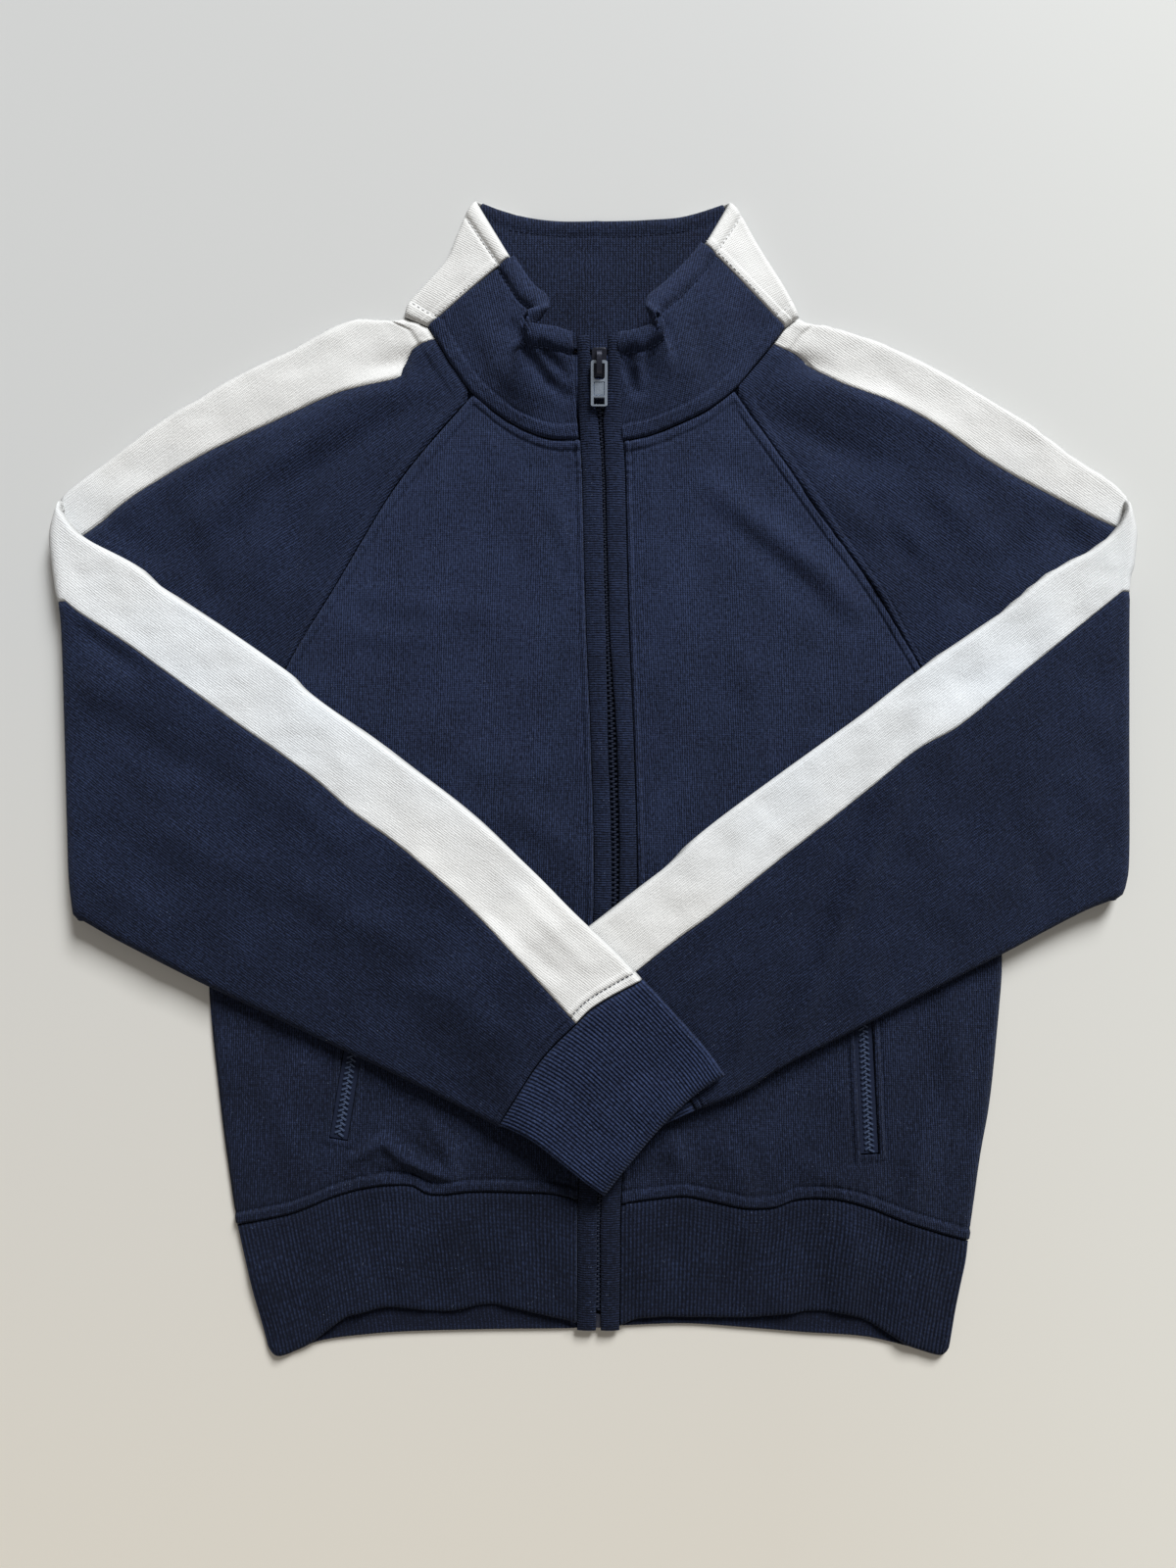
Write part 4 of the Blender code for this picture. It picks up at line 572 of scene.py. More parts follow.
def gridCloth(name, across, along, place, look, slot, grain, flat, replaced,
              wrap=False, wall=None, cut=None):
    # a grid laid over place(s, t, depth), where depth is 0 at the outer face and 1 at the inner one
    bm = bmesh.new()
    across, along = max(3, round(across * fine)), max(3, round(along * fine))
    bmesh.ops.create_grid(bm, x_segments=across, y_segments=along, size=0.5)
    layer = bm.loops.layers.uv.new("grain")
    shares = {v: (v.co.x + 0.5, v.co.y + 0.5) for v in bm.verts}
    for face in bm.faces:
        for loop in face.loops:
            loop[layer].uv = shares[loop.vert]
    for v, (s, t) in shares.items():
        v.co = (place(s, t, 0.0) - middle) * mm
    # the outer face looks away from the wall's inner side
    away = 0
    bm.normal_update()
    for face in list(bm.faces)[::max(1, len(bm.faces) // 40)]:
        s, t = [sum(q) / len(face.verts) for q in zip(*(shares[v] for v in face.verts))]
        away += 1 if (place(s, t, 0.0) - place(s, t, 1.0)).dot(face.normal) > 0 else -1
    if away < 0:
        bmesh.ops.reverse_faces(bm, faces=bm.faces)
    for face in bm.faces:
        for loop in face.loops:
            s, t = loop[layer].uv
            loop[layer].uv = grain(s, t, loop.vert.co / mm)
    if wrap:
        bmesh.ops.remove_doubles(bm, verts=bm.verts, dist=cloth["weld"])
    if cut:
        cut(bm)
    bm.normal_update()
    facing = bm.verts.layers.float.new("facing")
    for v in bm.verts:
        v[facing] = v.normal.z
    area = sum(face.calc_area() for face in bm.faces)  # the cut's area is taken from the drawn cloth itself
    made = finish(bm, name, look, slot, replaced, smoothAngle=180)
    thick = made.modifiers.new("wall", "SOLIDIFY")
    thick.thickness = (wall or cloth["wall"]) * mm
    thick.offset = -1.0
    area = max(0.3 * flat[0] * flat[1] + 0.00002, min(area, flat[0] * flat[1]))
    print(name, len(made.data.polygons), "faces, area", round(area, 5), "of", flat)
    return made


def turned(angle):  # planar grain: wales run along this direction, in degrees from +X
    along = Vector((math.cos(math.radians(angle)), math.sin(math.radians(angle))))

    def grain(s, t, p):
        return p.x * along.y - p.y * along.x, p.x * along.x + p.y * along.y
    return grain


# the sleeves

armRight = {
    "outward": -1, "over": True,
    "shoulder": [(-101.5, 246.6), (-106.0, 245.4), (-118.0, 246.0), (-130.3, 246.0), (-146.0, 238.6),
                 (-161.2, 230.2), (-186.4, 218.4), (-212.1, 203.2), (-231.5, 191.7), (-258.0, 171.5),
                 (-271.0, 162.5), (-279.0, 156.0), (-284.5, 149.5)],
    "fold": [(-288.0, 143.0), (-289.2, 135.0), (-288.8, 122.0), (-286.1, 99.9), (-283.0, 83.2), (-281.2, 32.6),
             (-279.6, -27.4), (-278.6, -54.5), (-276.0, -75.4)],
    "forearmTop": [(-270.7, 129.4), (-243.2, 114.4), (-224.5, 99.4), (-194.4, 80.2), (-161.7, 57.4),
                   (-149.8, 45.9), (-108.2, 15.8), (-65.2, -16.9), (-35.6, -44.4), (-2.9, -76.1),
                   (12.0, -90.0), (26.0, -105.0)],
    "forearmBottom": [(-249.4, -87.0), (-211.0, -106.7), (-158.6, -131.6), (-106.7, -156.0), (-51.0, -183.8)],
    "cuffSeam": [(26.0, -105.0), (2.3, -117.9), (-9.0, -128.0), (-29.2, -149.3), (-51.0, -183.8)],
    "cuffTop": [(26.0, -105.0), (38.3, -118.2), (52.2, -133.6), (61.0, -143.9), (68.7, -155.2)],
    "cuffBottom": [(-51.0, -183.8), (-46.0, -184.4), (-31.8, -190.9), (-15.3, -203.3), (5.6, -220.0)],
    "cuffEdge": [(68.7, -155.2), (52.2, -166.5), (33.2, -185.1), (14.6, -207.8), (5.6, -220.0)],
    "stripeUpper": [(-99.0, 229.2), (-118.9, 221.9), (-135.6, 212.4), (-160.7, 202.5), (-188.9, 188.4),
                    (-216.6, 173.3), (-244.8, 155.0), (-272.5, 130.9), (-292.0, 114.0)],
    "stripeForearm": [(-292.0, 104.0), (-275.3, 90.2), (-253.1, 75.2), (-230.8, 59.2), (-208.6, 42.6),
                      (-186.4, 26.1), (-149.2, -0.3), (-126.9, -19.9), (-104.7, -35.9), (-85.6, -51.5),
                      (-64.9, -70.1), (-35.4, -99.5), (-9.0, -128.0), (2.0, -140.0)],
    "neck": [(-101.5, 246.6), (-88.6, 241.2), (-84.6, 235.2), (-76.1, 221.2), (-64.6, 205.5),
             (-50.5, 193.8), (-37.0, 185.8), (-22.5, 180.8), (-7.8, 180.4)],
    "raglan": [(-64.6, 205.5), (-89.2, 177.8), (-107.6, 154.2), (-123.3, 128.6), (-139.0, 101.8),
               (-159.9, 67.8), (-179.8, 28.6), (-201.4, -13.4)],
    "backNeck": [(-101.5, 246.6), (-72.0, 235.5), (-60.0, 233.5)],
    "backRaglan": [(-60.0, 233.5), (-86.0, 186.0), (-120.0, 122.0), (-160.0, 55.0), (-201.4, -13.4)],
    "upperGrain": 216.0, "forearmGrain": -37.0,
}
armLeft = {
    "outward": 1, "over": False,
    "shoulder": [(110.3, 246.6), (114.6, 244.0), (126.1, 242.5), (145.0, 236.6), (165.4, 228.4),
                 (197.4, 211.6), (228.4, 193.2), (260.9, 169.4), (272.5, 162.5),
                 (280.5, 156.0), (285.5, 149.5)],
    "fold": [(288.4, 143.0), (289.2, 135.5), (288.7, 126.0), (287.1, 111.4), (285.0, 98.8), (284.7, 30.5),
             (284.7, -38.3), (283.0, -56.0), (279.6, -64.6)],
    "forearmTop": [(276.4, 132.6), (263.5, 121.7), (239.1, 108.2), (211.5, 85.4), (173.6, 59.4),
                   (144.6, 36.6), (102.0, 6.0), (59.4, -25.7), (39.7, -44.4), (14.8, -64.6), (-2.9, -78.1)],
    "forearmBottom": [(257.2, -71.4), (216.2, -93.2), (177.8, -112.9), (139.9, -132.6), (101.0, -152.4),
                      (82.8, -164.3), (71.4, -169.4), (54.6, -175.6)],
    "cuffSeam": [(-2.9, -78.1), (12.0, -100.0), (32.0, -134.0), (54.6, -175.6)],
    "cuffTop": [(-2.9, -78.1), (-20.0, -90.0), (-38.0, -104.0), (-54.0, -118.0)],
    "cuffBottom": [(54.6, -175.6), (36.0, -184.0), (14.0, -193.0), (-7.0, -200.0)],
    "cuffEdge": [(-54.0, -118.0), (-38.0, -145.0), (-22.0, -172.0), (-7.0, -200.0)],
    "stripeUpper": [(110.0, 228.1), (121.5, 225.0), (143.5, 215.1), (159.1, 206.7), (181.6, 196.8),
                    (202.5, 184.2), (231.8, 163.3), (262.6, 143.5), (278.3, 134.6), (292.0, 126.0)],
    "stripeForearm": [(292.0, 108.0), (280.4, 98.5), (256.1, 78.8), (226.2, 54.5), (192.6, 27.1),
                      (171.4, 15.2), (144.0, -7.5), (104.7, -38.0), (62.3, -71.6), (39.5, -88.2),
                      (20.0, -104.0), (8.0, -114.0)],
    "neck": [(110.3, 246.6), (102.6, 240.8), (96.6, 232.7), (86.0, 219.8), (75.1, 207.1),
             (61.0, 196.6), (46.0, 189.2), (31.0, 183.0), (15.6, 179.4)],
    "raglan": [(75.1, 207.1), (101.8, 169.4), (122.8, 139.5), (148.4, 104.5), (161.5, 82.5),
               (174.6, 60.0), (193.5, 24.4), (214.6, -14.4)],
    "backNeck": [(110.3, 246.6), (81.0, 235.5), (69.0, 233.5)],
    "backRaglan": [(69.0, 233.5), (95.0, 186.0), (130.0, 122.0), (172.0, 55.0), (214.6, -14.4)],
    "upperGrain": -36.0, "forearmGrain": 217.0,
}
sleeveCut = {
    "stripeAtNeck": 0.07, "neckMiddle": 0.12, "raglanStart": 0.16, "backStripeAtNeck": 0.13,
    "hiddenBack": 40.0, "hiddenFront": 25.0,
    "flatFront": (0.20, 0.62), "flatBack": (0.20, 0.62), "flatStripe": (0.085, 0.62),
}


def onKnots(knots, share):
    for (s0, p0), (s1, p1) in zip(knots, knots[1:]):
        if share <= s1:
            return p0.lerp(p1, (share - s0) / (s1 - s0))
    return knots[-1][1]


def readyArm(arm):
    inward = Vector((-arm["outward"] * (cloth["foldRadius"] + cloth["sleeveHalf"]), 0))
    arm["axis"] = [p + inward for p in spline(arm["fold"], 60)]
    start = sleeveCut["raglanStart"]
    white, neck = sleeveCut["stripeAtNeck"], arm["neck"]
    front = [(0.0, neck[0]), (white / 2, neck[1]), (white, neck[2]), (sleeveCut["neckMiddle"], neck[3])]
    back = [(0.0, arm["backNeck"][0]), (sleeveCut["backStripeAtNeck"], arm["backNeck"][1])]
    for knots, raglan in ((front, arm["raglan"]), (back, arm["backRaglan"])):
        line = spline(raglan, 40)
        knots += [(start + (1 - start) * k / 40, p) for k, p in enumerate(line)]
    arm["frontStart"] = [(s, Vector(p)) for s, p in front]
    arm["backStart"] = [(s, Vector(p)) for s, p in back]
    underarm, low = Vector(arm["raglan"][-1]), arm["axis"][-1]
    arm["topLine"] = spline([*arm["shoulder"], arm["axis"][0]], 120)
    arm["underarmLine"] = spline([underarm, underarm.lerp(low, 0.5) + Vector((0, -6.0)), low], 40)
    arm["topForearm"] = spline([arm["axis"][0], *arm["forearmTop"]], 160)
    arm["bottomForearm"] = spline([low, *arm["forearmBottom"]], 160)
    arm["seamLine"] = spline(arm["cuffSeam"], 60)
    arm["upperStripeLine"] = spline(arm["stripeUpper"], 60)
    arm["forearmStripeLine"] = spline(arm["stripeForearm"], 80)
    arm["run"] = {"upper": lengthOf(arm["topLine"]), "fold": 12.4, "forearm": lengthOf(arm["topForearm"])}
    arm["stripeCache"] = {}


def crossShare(line, a, b):  # how far along a to b the line crosses it
    run = b - a
    before = None
    for p in line:
        side = run.x * (p.y - a.y) - run.y * (p.x - a.x)
        if before and side * before[0] <= 0:
            hit = before[1].lerp(p, before[0] / (before[0] - side))
            return (hit - a).dot(run) / run.length_squared
        before = (side, p)
    return (line[-1] - a).dot(run) / run.length_squared


def sectionEnds(arm, zone, t):  # the two edges of the folded sleeve at one row
    if zone == "upper":
        return at(arm["topLine"], t), at(arm["underarmLine"], t)
    if zone == "fold":
        return arm["axis"][0], arm["axis"][-1]
    return at(arm["topForearm"], t), at(arm["bottomForearm"], t)


def plan(arm, zone, t, f, back):  # place seen from above
    axis = arm["axis"]
    if zone == "fold":
        return at(axis, f)
    if zone == "upper":
        knots = arm["backStart"] if back else arm["frontStart"]
        return patch(onKnots(knots, f), at(axis, f), at(arm["topLine"], t), at(arm["underarmLine"], t),
                     knots[0][1], knots[-1][1], axis[0], axis[-1], f, t)
    seam = arm["seamLine"]
    return patch(at(axis, f), at(seam, f), at(arm["topForearm"], t), at(arm["bottomForearm"], t),
                 axis[0], axis[-1], seam[0], seam[-1], f, t)


def stripeShares(arm, zone, t):  # where the white ends on the front layer and on the back layer
    key = (zone, round(t, 5))
    if key in arm["stripeCache"]:
        return arm["stripeCache"][key]
    a, b = sectionEnds(arm, zone, t)
    foldFront = crossShare(arm["upperStripeLine"], arm["axis"][0], arm["axis"][-1])
    foldBack = crossShare(arm["forearmStripeLine"], arm["axis"][0], arm["axis"][-1])
    if zone == "upper":
        atNeck = sleeveCut["stripeAtNeck"]
        front = crossShare(arm["upperStripeLine"], a, b) if t > 0.02 else atNeck
        near = smooth(t / 0.3)
        front = atNeck + (front - atNeck) * max(near, min(1.0, t * 8))
        hidden = sleeveCut["hiddenBack"] / (b - a).length
        back = sleeveCut["backStripeAtNeck"] + (hidden - sleeveCut["backStripeAtNeck"]) * near
        found = front, back + (foldBack - back) * smooth((t - 0.5) / 0.5)
    elif zone == "fold":
        found = foldFront, foldBack
    else:
        hidden = sleeveCut["hiddenFront"] / (b - a).length
        found = foldFront + (hidden - foldFront) * smooth(t / 0.3), crossShare(arm["forearmStripeLine"], a, b)
    arm["stripeCache"][key] = found
    return found


def crossingLift(arm, x, y):  # the upper forearm climbs over the lower one
    if not arm["over"]:
        return 0.0
    edges = [armLeft["forearmTop"][-6], armLeft["cuffEdge"][0], armLeft["cuffEdge"][-1],
             armLeft["cuffBottom"][0], armLeft["forearmBottom"][-4]]
    inside = []
    for (ax, ay), (bx, by) in zip(edges, edges[1:]):
        inside.append(((bx - ax) * (y - ay) - (by - ay) * (x - ax)) / math.hypot(bx - ax, by - ay))
    start, end = cloth["crossingStart"], cloth["crossingEnd"]
    return cloth["crossingRise"] * smooth((min(inside) - start) / (end - start))


def armPoint(arm, zone, t, s, depth, rise=0.0):
    # s runs from -1 (back layer, underarm) over 0 (shoulder edge) to 1 (front layer, underarm)
    back = s < 0
    a, b = sectionEnds(arm, zone, t)
    width = (b - a).length
    f = (depth + abs(s) * (width - 2 * depth)) / width
    half = cloth["sleeveHalf"]
    if zone == "upper":
        half = cloth["seamHalf"] + (half - cloth["seamHalf"]) * smooth(t / 0.35)
    share = rounding(min(f, 1 - f) * width - depth, cloth["edgeRound"] - depth * 0.7)
    offset = (half - depth) * share
    if abs(s) > 0.5:
        offset = max(offset, 0.15)
    offset += rise * share
    x, y = plan(arm, zone, t, f, back)
    if zone == "upper":
        if back:
            return Vector((x, y, half - offset))
        extra = creases(sleeveFolds, x, y) + creases(upperCreases, x, y) + uneven("upper", x, y)
        return Vector((x, y, half + offset + (extra * smooth((1 - t) * 20) + neckLift(x, y)) * share))
    if zone == "fold":
        angle = math.radians(t)
        corner = 1 - smooth(f * width / cloth["elbowReach"])
        y += cloth["cornerLift"] * math.cos(angle) * corner
        pinch = 1 - cloth["elbowPinch"] * corner
        out = Vector((arm["outward"] * math.cos(angle) * pinch, 0, math.sin(angle)))
        return Vector((x, y, cloth["foldHeight"])) + out * (cloth["foldRadius"] + (offset if back else -offset))
    level = cloth["foldHeight"] + cloth["foldRadius"]
    level += (cloth["forearmMiddle"] - level) * smooth(t / 0.2) + crossingLift(arm, x, y)
    if back:
        extra = creases(sleeveFolds, x, y) + creases(forearmCreases, x, y) + uneven("forearm", x, y)
        return Vector((x, y, level + offset + extra * smooth(t * 20) * share))
    return Vector((x, y, level - offset))


def sleeve(arm, side):
    readyArm(arm)
    run = arm["run"]
    total = sum(run.values())
    gap = cloth["gap"]
    bend = run["upper"] / total
    # closer rows below the raglan seam, round the elbow and above the cuff
    rows = closer([(0.0, 14.0 / total, 5.0), (bend - 0.005, bend + 0.025, 3.0), (1 - 12.0 / total, 1.0, 7.0)])

    def station(v):  # share of the rows to the sleeve's zone and the place there
        length = rows(v) * total
        if length <= run["upper"]:
            return "upper", length / run["upper"]
        length -= run["upper"]
        if length <= run["fold"]:
            return "fold", -90 + 180 * length / run["fold"]
        return "forearm", min(1.0, (length - run["fold"]) / run["forearm"]) * (1 - 0.15 / run["forearm"])

    def wall(kind):
        def place(u, v, depth):
            zone, t = station(v)
            a, b = sectionEnds(arm, zone, t)
            width = (b - a).length
            front, back = stripeShares(arm, zone, t)
            if kind == "front":
                low = front + gap / width
                s = low + u * (1 - low)
                side = (s - low) * width
            elif kind == "back":
                low = back + gap / width
                s = -(low + u * (1 - low))
                side = (-s - low) * width
            else:
                low, high = -back + gap / width, front - gap / width
                s = low + u * (high - low)
                side = min(s - low, high - s) * width
            left = (1 - t) * run["forearm"] if zone == "forearm" else 99.0
            rise = 0.0
            if depth == 0:
                # the doubled cloth above the cuff, then the long seams, then the raglan
                ridge = 1.1 * plateau(left, 0.5, sewing["turnedIn"], 1.2)
                ridge += seam(left - sewing["stitchAt"], 0.5, 0.8) + seam(left, 0.6, 0.7)
                ridge += 0.4 * plateau(left, 6.0, 9.0, 2.0)
                ridge += pucker(abs(left - sewing["turnedIn"]), side, 0.2, 4.0)
                rise += ridge * (1.0 if arm["over"] else smooth(abs(s) * 8 - 4.8))
                rise += seam(side, 0.25, 1.2) + pucker(side, rows(v) * total, 0.08, 3.0)
                if zone == "upper":
                    start = t * run["upper"] * 0.55
                    rise += raglanRidge(start, 0.45)
                    rise += pucker(start, s * width, 0.18, 7.0)
            p = armPoint(arm, zone, t, s, depth * cloth["wall"], rise)
            if zone == "upper" and t < 0.04:
                ahead = plan(arm, "upper", 0.06, abs(s), s < 0) - plan(arm, "upper", 0.0, abs(s), s < 0)
                step = ahead.normalized() * 0.25 * (1 - t / 0.04)
                p += Vector((step.x, step.y, 0))
            return p
        return place

    upper, lower = turned(arm["upperGrain"]), turned(arm["forearmGrain"])

    def grain(u, v, p):
        return upper(u, v, p) if station(v)[0] == "upper" else lower(u, v, p)

    for kind, columns, look, slot in (
            ("front", 46, sleeveNavy, "navy_knit"), ("back", 46, sleeveNavy, "navy_knit"),
            ("stripe", 38, whiteKnit, "white_knit")):
        gridCloth("sleeve" + kind.title() + side.title(), columns, 250, wall(kind), look, slot, grain,
                  sleeveCut["flat" + kind.title()], ["sleeve_" + kind + "_" + side])


# the cuffs

cuffShape = {"ribs": 53, "rise": 0.7, "flat": (0.22, 0.066), "columnsPerRib": 5}  # ribs of one layer


def cuff(arm, side):
    lines = {key: spline(arm[key], 60) for key in ("cuffEdge", "cuffTop", "cuffBottom")}
    seam, edge, top, bottom = arm["seamLine"], lines["cuffEdge"], lines["cuffTop"], lines["cuffBottom"]
    start = 0.5 / lengthOf(top)
    long = lengthOf(top)

    def place(u, v, depth):
        turn = u * 2
        back = turn > 1
        f = 2 - turn if back else turn
        t = start + v * (1 - start)
        wide = (at(bottom, t) - at(top, t)).length
        deep = depth * cloth["wall"]
        f = (deep + f * (wide - 2 * deep)) / wide
        share = rounding(min(f, 1 - f) * wide - deep, cloth["edgeRound"] - deep * 0.7)
        offset = (cloth["sleeveHalf"] - deep) * share
        if depth == 0:
            wave = 0.5 - 0.5 * math.cos(turn * cuffShape["ribs"] * 2 * math.pi)
            near = rounding((1 - v) * long, 2.4)
            ends = near * smooth(v * long)
            offset += (cuffShape["rise"] * wave ** 0.7 * ends - 0.1) * share
            offset -= (1 - near) * 1.6 * share + 0.5 * math.exp(-(v * long / 0.8) ** 2) * share
        x, y = patch(at(seam, f), at(edge, f), at(top, t), at(bottom, t),
                     seam[0], seam[-1], edge[0], edge[-1], f, t)
        level = cloth["forearmMiddle"] + crossingLift(arm, x, y)
        if back:
            offset += uneven("cuff", x, y) * share * smooth(v * 5)
        return Vector((x, y, level + (offset if back else -offset)))

    def grain(u, v, p):
        return u * 2 * cuffShape["ribs"] * cloth["ribPitch"], v * long

    gridCloth("cuff" + side.title(), 2 * cuffShape["ribs"] * cuffShape["columnsPerRib"], 22, place, cuffNavy,
              "navy_rib", grain, cuffShape["flat"], ["cuff_" + side],
              wrap=True)


for arm, side in ((armRight, "right"), (armLeft, "left")):
    sleeve(arm, side)
    cuff(arm, side)
print("sleeves made")


# the body

bodyShape = {
    "placketOuter": 11.4, "panelStart": 11.6,
    "rightSide": [(-201.4, -13.4), (-204.5, -60.6), (-206.1, -107.9), (-202.4, -149.9), (-198.2, -186.7),
                  (-190.9, -238.6)],
    "leftSide": [(214.6, -14.4), (217.7, -55.4), (218.8, -94.8), (217.7, -118.4), (212.5, -170.9),
                 (207.2, -202.4), (200.9, -247.4)],
    "rightHemSeam": [(-8.6, -225.2), (-23.8, -221.8), (-44.7, -221.1), (-65.7, -221.1), (-86.6, -222.6),
                     (-97.1, -218.0), (-110.1, -217.4), (-122.2, -219.0), (-138.9, -223.7), (-159.8, -232.1),
                     (-175.5, -235.7), (-190.9, -238.6)],
    "leftHemSeam": [(15.0, -227.4), (33.8, -224.7), (48.4, -223.2), (65.2, -226.3), (80.3, -229.4),
                    (96.0, -229.6), (109.6, -225.2), (128.5, -224.7), (145.8, -228.9), (162.0, -235.2),
                    (181.9, -242.0), (200.9, -247.4)],
    "backHemSeam": [(-190.9, -238.6), (-100.0, -238.0), (0.0, -236.0), (100.0, -238.0), (200.9, -247.4)],
    "pocketRight": [(-119.5, -90.0), (-136.3, -192.8)],
    "pocketLeft": [(141.5, -80.0), (147.8, -200.6)],
    "slotHalf": 5.0,
    "flatFront": (0.235, 0.46), "flatBack": (0.44, 0.49),
}


def slotDistance(slot, x, y):  # distance outside a pocket's slot, minus inside
    (x0, y0), (x1, y1) = slot
    dx, dy = x1 - x0, y1 - y0
    length = math.hypot(dx, dy)
    along = ((x - x0) * dx + (y - y0) * dy) / length
    off = abs((x - x0) * dy - (y - y0) * dx) / length
    return max(off - bodyShape["slotHalf"], -along, along - length)


def zipEdge(sign, top, bottom, share):
    y = top + (bottom - top) * share
    return Vector((zipAt(y).x + sign * bodyShape["panelStart"], y))


def frontTop(x, y, slot):  # outer face with the welts that stand beside the pocket's slot
    near = slotDistance(slot, x, y)
    lip = 1.1 * plateau(near, 0.2, 3.1, 1.0) - 0.5 * math.exp(-((near - 3.8) / 0.8) ** 2)
    return bodyTop(x, y) + lip - 0.35 * smooth(1 - near / 9.0)


def front(side, sign, arm):
    neckLine = [Vector(p) for p in arm["neck"][4:]][::-1]
    top = spline(neckLine, 60)[:-1] + spline(arm["raglan"], 140)
    share = 60 / 200
    bottom = spline(bodyShape[side + "HemSeam"], 120)
    down = spline(bodyShape[side + "Side"], 80)
    slot = bodyShape["pocket" + side.title()]
    columns = closer([(0.0, 0.045, 4.0), (0.53, 0.74, 3.0)])  # beside the zip and across the pocket
    rows = closer([(0.0, 0.05, 4.0), (0.965, 1.0, 5.0)])  # below the neck and raglan, above the hem

    def place(f, t, depth):
        f, t = columns(f), rows(t)
        start, end = at(top, f), at(bottom, f)
        inner = zipEdge(sign, top[0].y, bottom[0].y, t)
        p = patch(start, end, inner, at(down, t), top[0], top[-1], bottom[0], bottom[-1], f, t)
        wide = (at(down, t) - inner).length
        length = (end - start).length
        fromTop, fromHem, fromZip, fromSide = t * length, (1 - t) * length, f * wide, (1 - f) * wide
        z = frontTop(p.x, p.y, slot) - depth * cloth["wall"]
        if depth == 0:
            fromTop *= 0.9 if f < share else 0.53  # the rows cross the neck and the raglan at a slant
            z += 1.3 * plateau(fromHem, 0.7, 5.6, 1.6) + seam(fromHem, 0.6) + seam(fromHem - 6.6, 0.5, 1.1)
            z += pucker(abs(fromHem - 6.0), p.x, 0.3, 7.0) + pucker(fromTop, p.y, 0.15, 7.0)
            z += raglanRidge(fromTop, 0.55)
            z += 0.7 * plateau(fromZip, 0.6, 3.2, 1.4) + seam(fromZip, 0.5) + seam(fromZip - 4.4, 0.3, 0.9)
            z += pucker(fromZip, p.y, 0.25, 9.0)
        z -= 1.4 * (1 - rounding(fromSide, 2.6))
        return Vector((p.x, p.y + 0.25 * (t == 1.0) - 0.15 * (t == 0.0), z))

    def cut(bm):  # the pocket's opening
        (x0, y0), (x1, y1) = slot
        along = Vector((x1 - x0, y1 - y0, 0)).normalized()
        off = Vector((along.y, -along.x, 0))
        centre = (Vector((x0, y0, 0)) - middle) * mm, (Vector((x1, y1, 0)) - middle) * mm
        half = bodyShape["slotHalf"] * mm

        def near(face):
            c = face.calc_center_median() / mm + middle
            return slotDistance(slot, c.x, c.y) < 9.0
        for point, normal in ((centre[0] + off * half, off), (centre[0] - off * half, off),
                              (centre[0], along), (centre[1], along)):
            close = [face for face in bm.faces if near(face)]
            parts = {e for face in close for e in face.edges} | {v for face in close for v in face.verts}
            bmesh.ops.bisect_plane(bm, geom=close + list(parts), plane_co=point, plane_no=normal, dist=1e-7)
        inside = []
        for face in bm.faces:
            c = face.calc_center_median() / mm + middle
            if slotDistance(slot, c.x, c.y) < -0.02:
                inside.append(face)
        bmesh.ops.delete(bm, geom=inside, context="FACES")

    gridCloth("front" + side.title(), 122, 220, place, bodyNavy, "navy_knit", turned(90.0 + 1.5 * sign),
              bodyShape["flatFront"], ["front_" + side], cut=cut)


front("right", -1, armRight)
front("left", 1, armLeft)


def backPanel():
    right = spline(armRight["backRaglan"], 60)[::-1]
    left = spline(armLeft["backRaglan"], 60)
    top = right + spline([(-60.0, 233.5), (-20.0, 229.5), (30.0, 229.5), (69.0, 233.5)], 20)[1:-1] + left
    bottom = spline(bodyShape["backHemSeam"], 60)
    rightDown, leftDown = spline(bodyShape["rightSide"], 60), spline(bodyShape["leftSide"], 60)

    def place(f, t, depth):
        start, end, a, b = at(top, f), at(bottom, f), at(rightDown, t), at(leftDown, t)
        p = patch(start, end, a, b, top[0], top[-1], bottom[0], bottom[-1], f, t)
        edge = min(f, 1 - f) * (b - a).length
        z = depth * cloth["wall"] + 1.5 * (1 - rounding(edge, 2.6))
        return Vector((p.x, p.y - 0.3 * (t == 0.0) + 0.3 * (t == 1.0), z))

    gridCloth("backPanel", 90, 100, place, bodyNavy, "navy_knit", turned(90.0), bodyShape["flatBack"],
              ["back_body"])


backPanel()

hemShape = {
    "ribs": 88, "rise": 0.7, "middle": 1.9, "flat": (0.82, 0.075), "cornerRound": 6.5, "deep": 62.0,
    "frontShare": 0.25,  # share of the columns that each front takes
    "rightEdge": [(-8.9, -290.9), (-31.6, -286.0), (-55.2, -281.8), (-81.4, -285.2), (-107.5, -282.8),
                  (-120.6, -284.9), (-133.7, -288.6), (-149.4, -301.0), (-160.9, -307.2), (-173.3, -310.4)],
    "leftEdge": [(14.4, -292.4), (28.5, -288.4), (54.7, -288.1), (80.9, -288.1), (101.8, -286.5),
                 (122.7, -285.4), (137.4, -287.5), (148.9, -291.7), (169.8, -303.8), (189.8, -310.0)],
    "backEdge": [(-173.3, -310.4), (-160.7, -306.6), (-144.9, -301.1), (-121.2, -298.0), (-97.6, -296.4),
                 (-55.5, -295.3), (-13.4, -294.8), (18.2, -293.2), (49.7, -292.2), (81.3, -294.3),
                 (112.9, -296.9), (144.4, -299.0), (165.5, -303.6), (189.8, -310.0)],
    "rightDown": [(-190.9, -238.6), (-183.5, -270.7), (-175.6, -299.2), (-173.3, -310.4)],
    "leftDown": [(200.9, -247.4), (199.3, -260.2), (194.6, -281.2), (189.8, -310.0)],
}


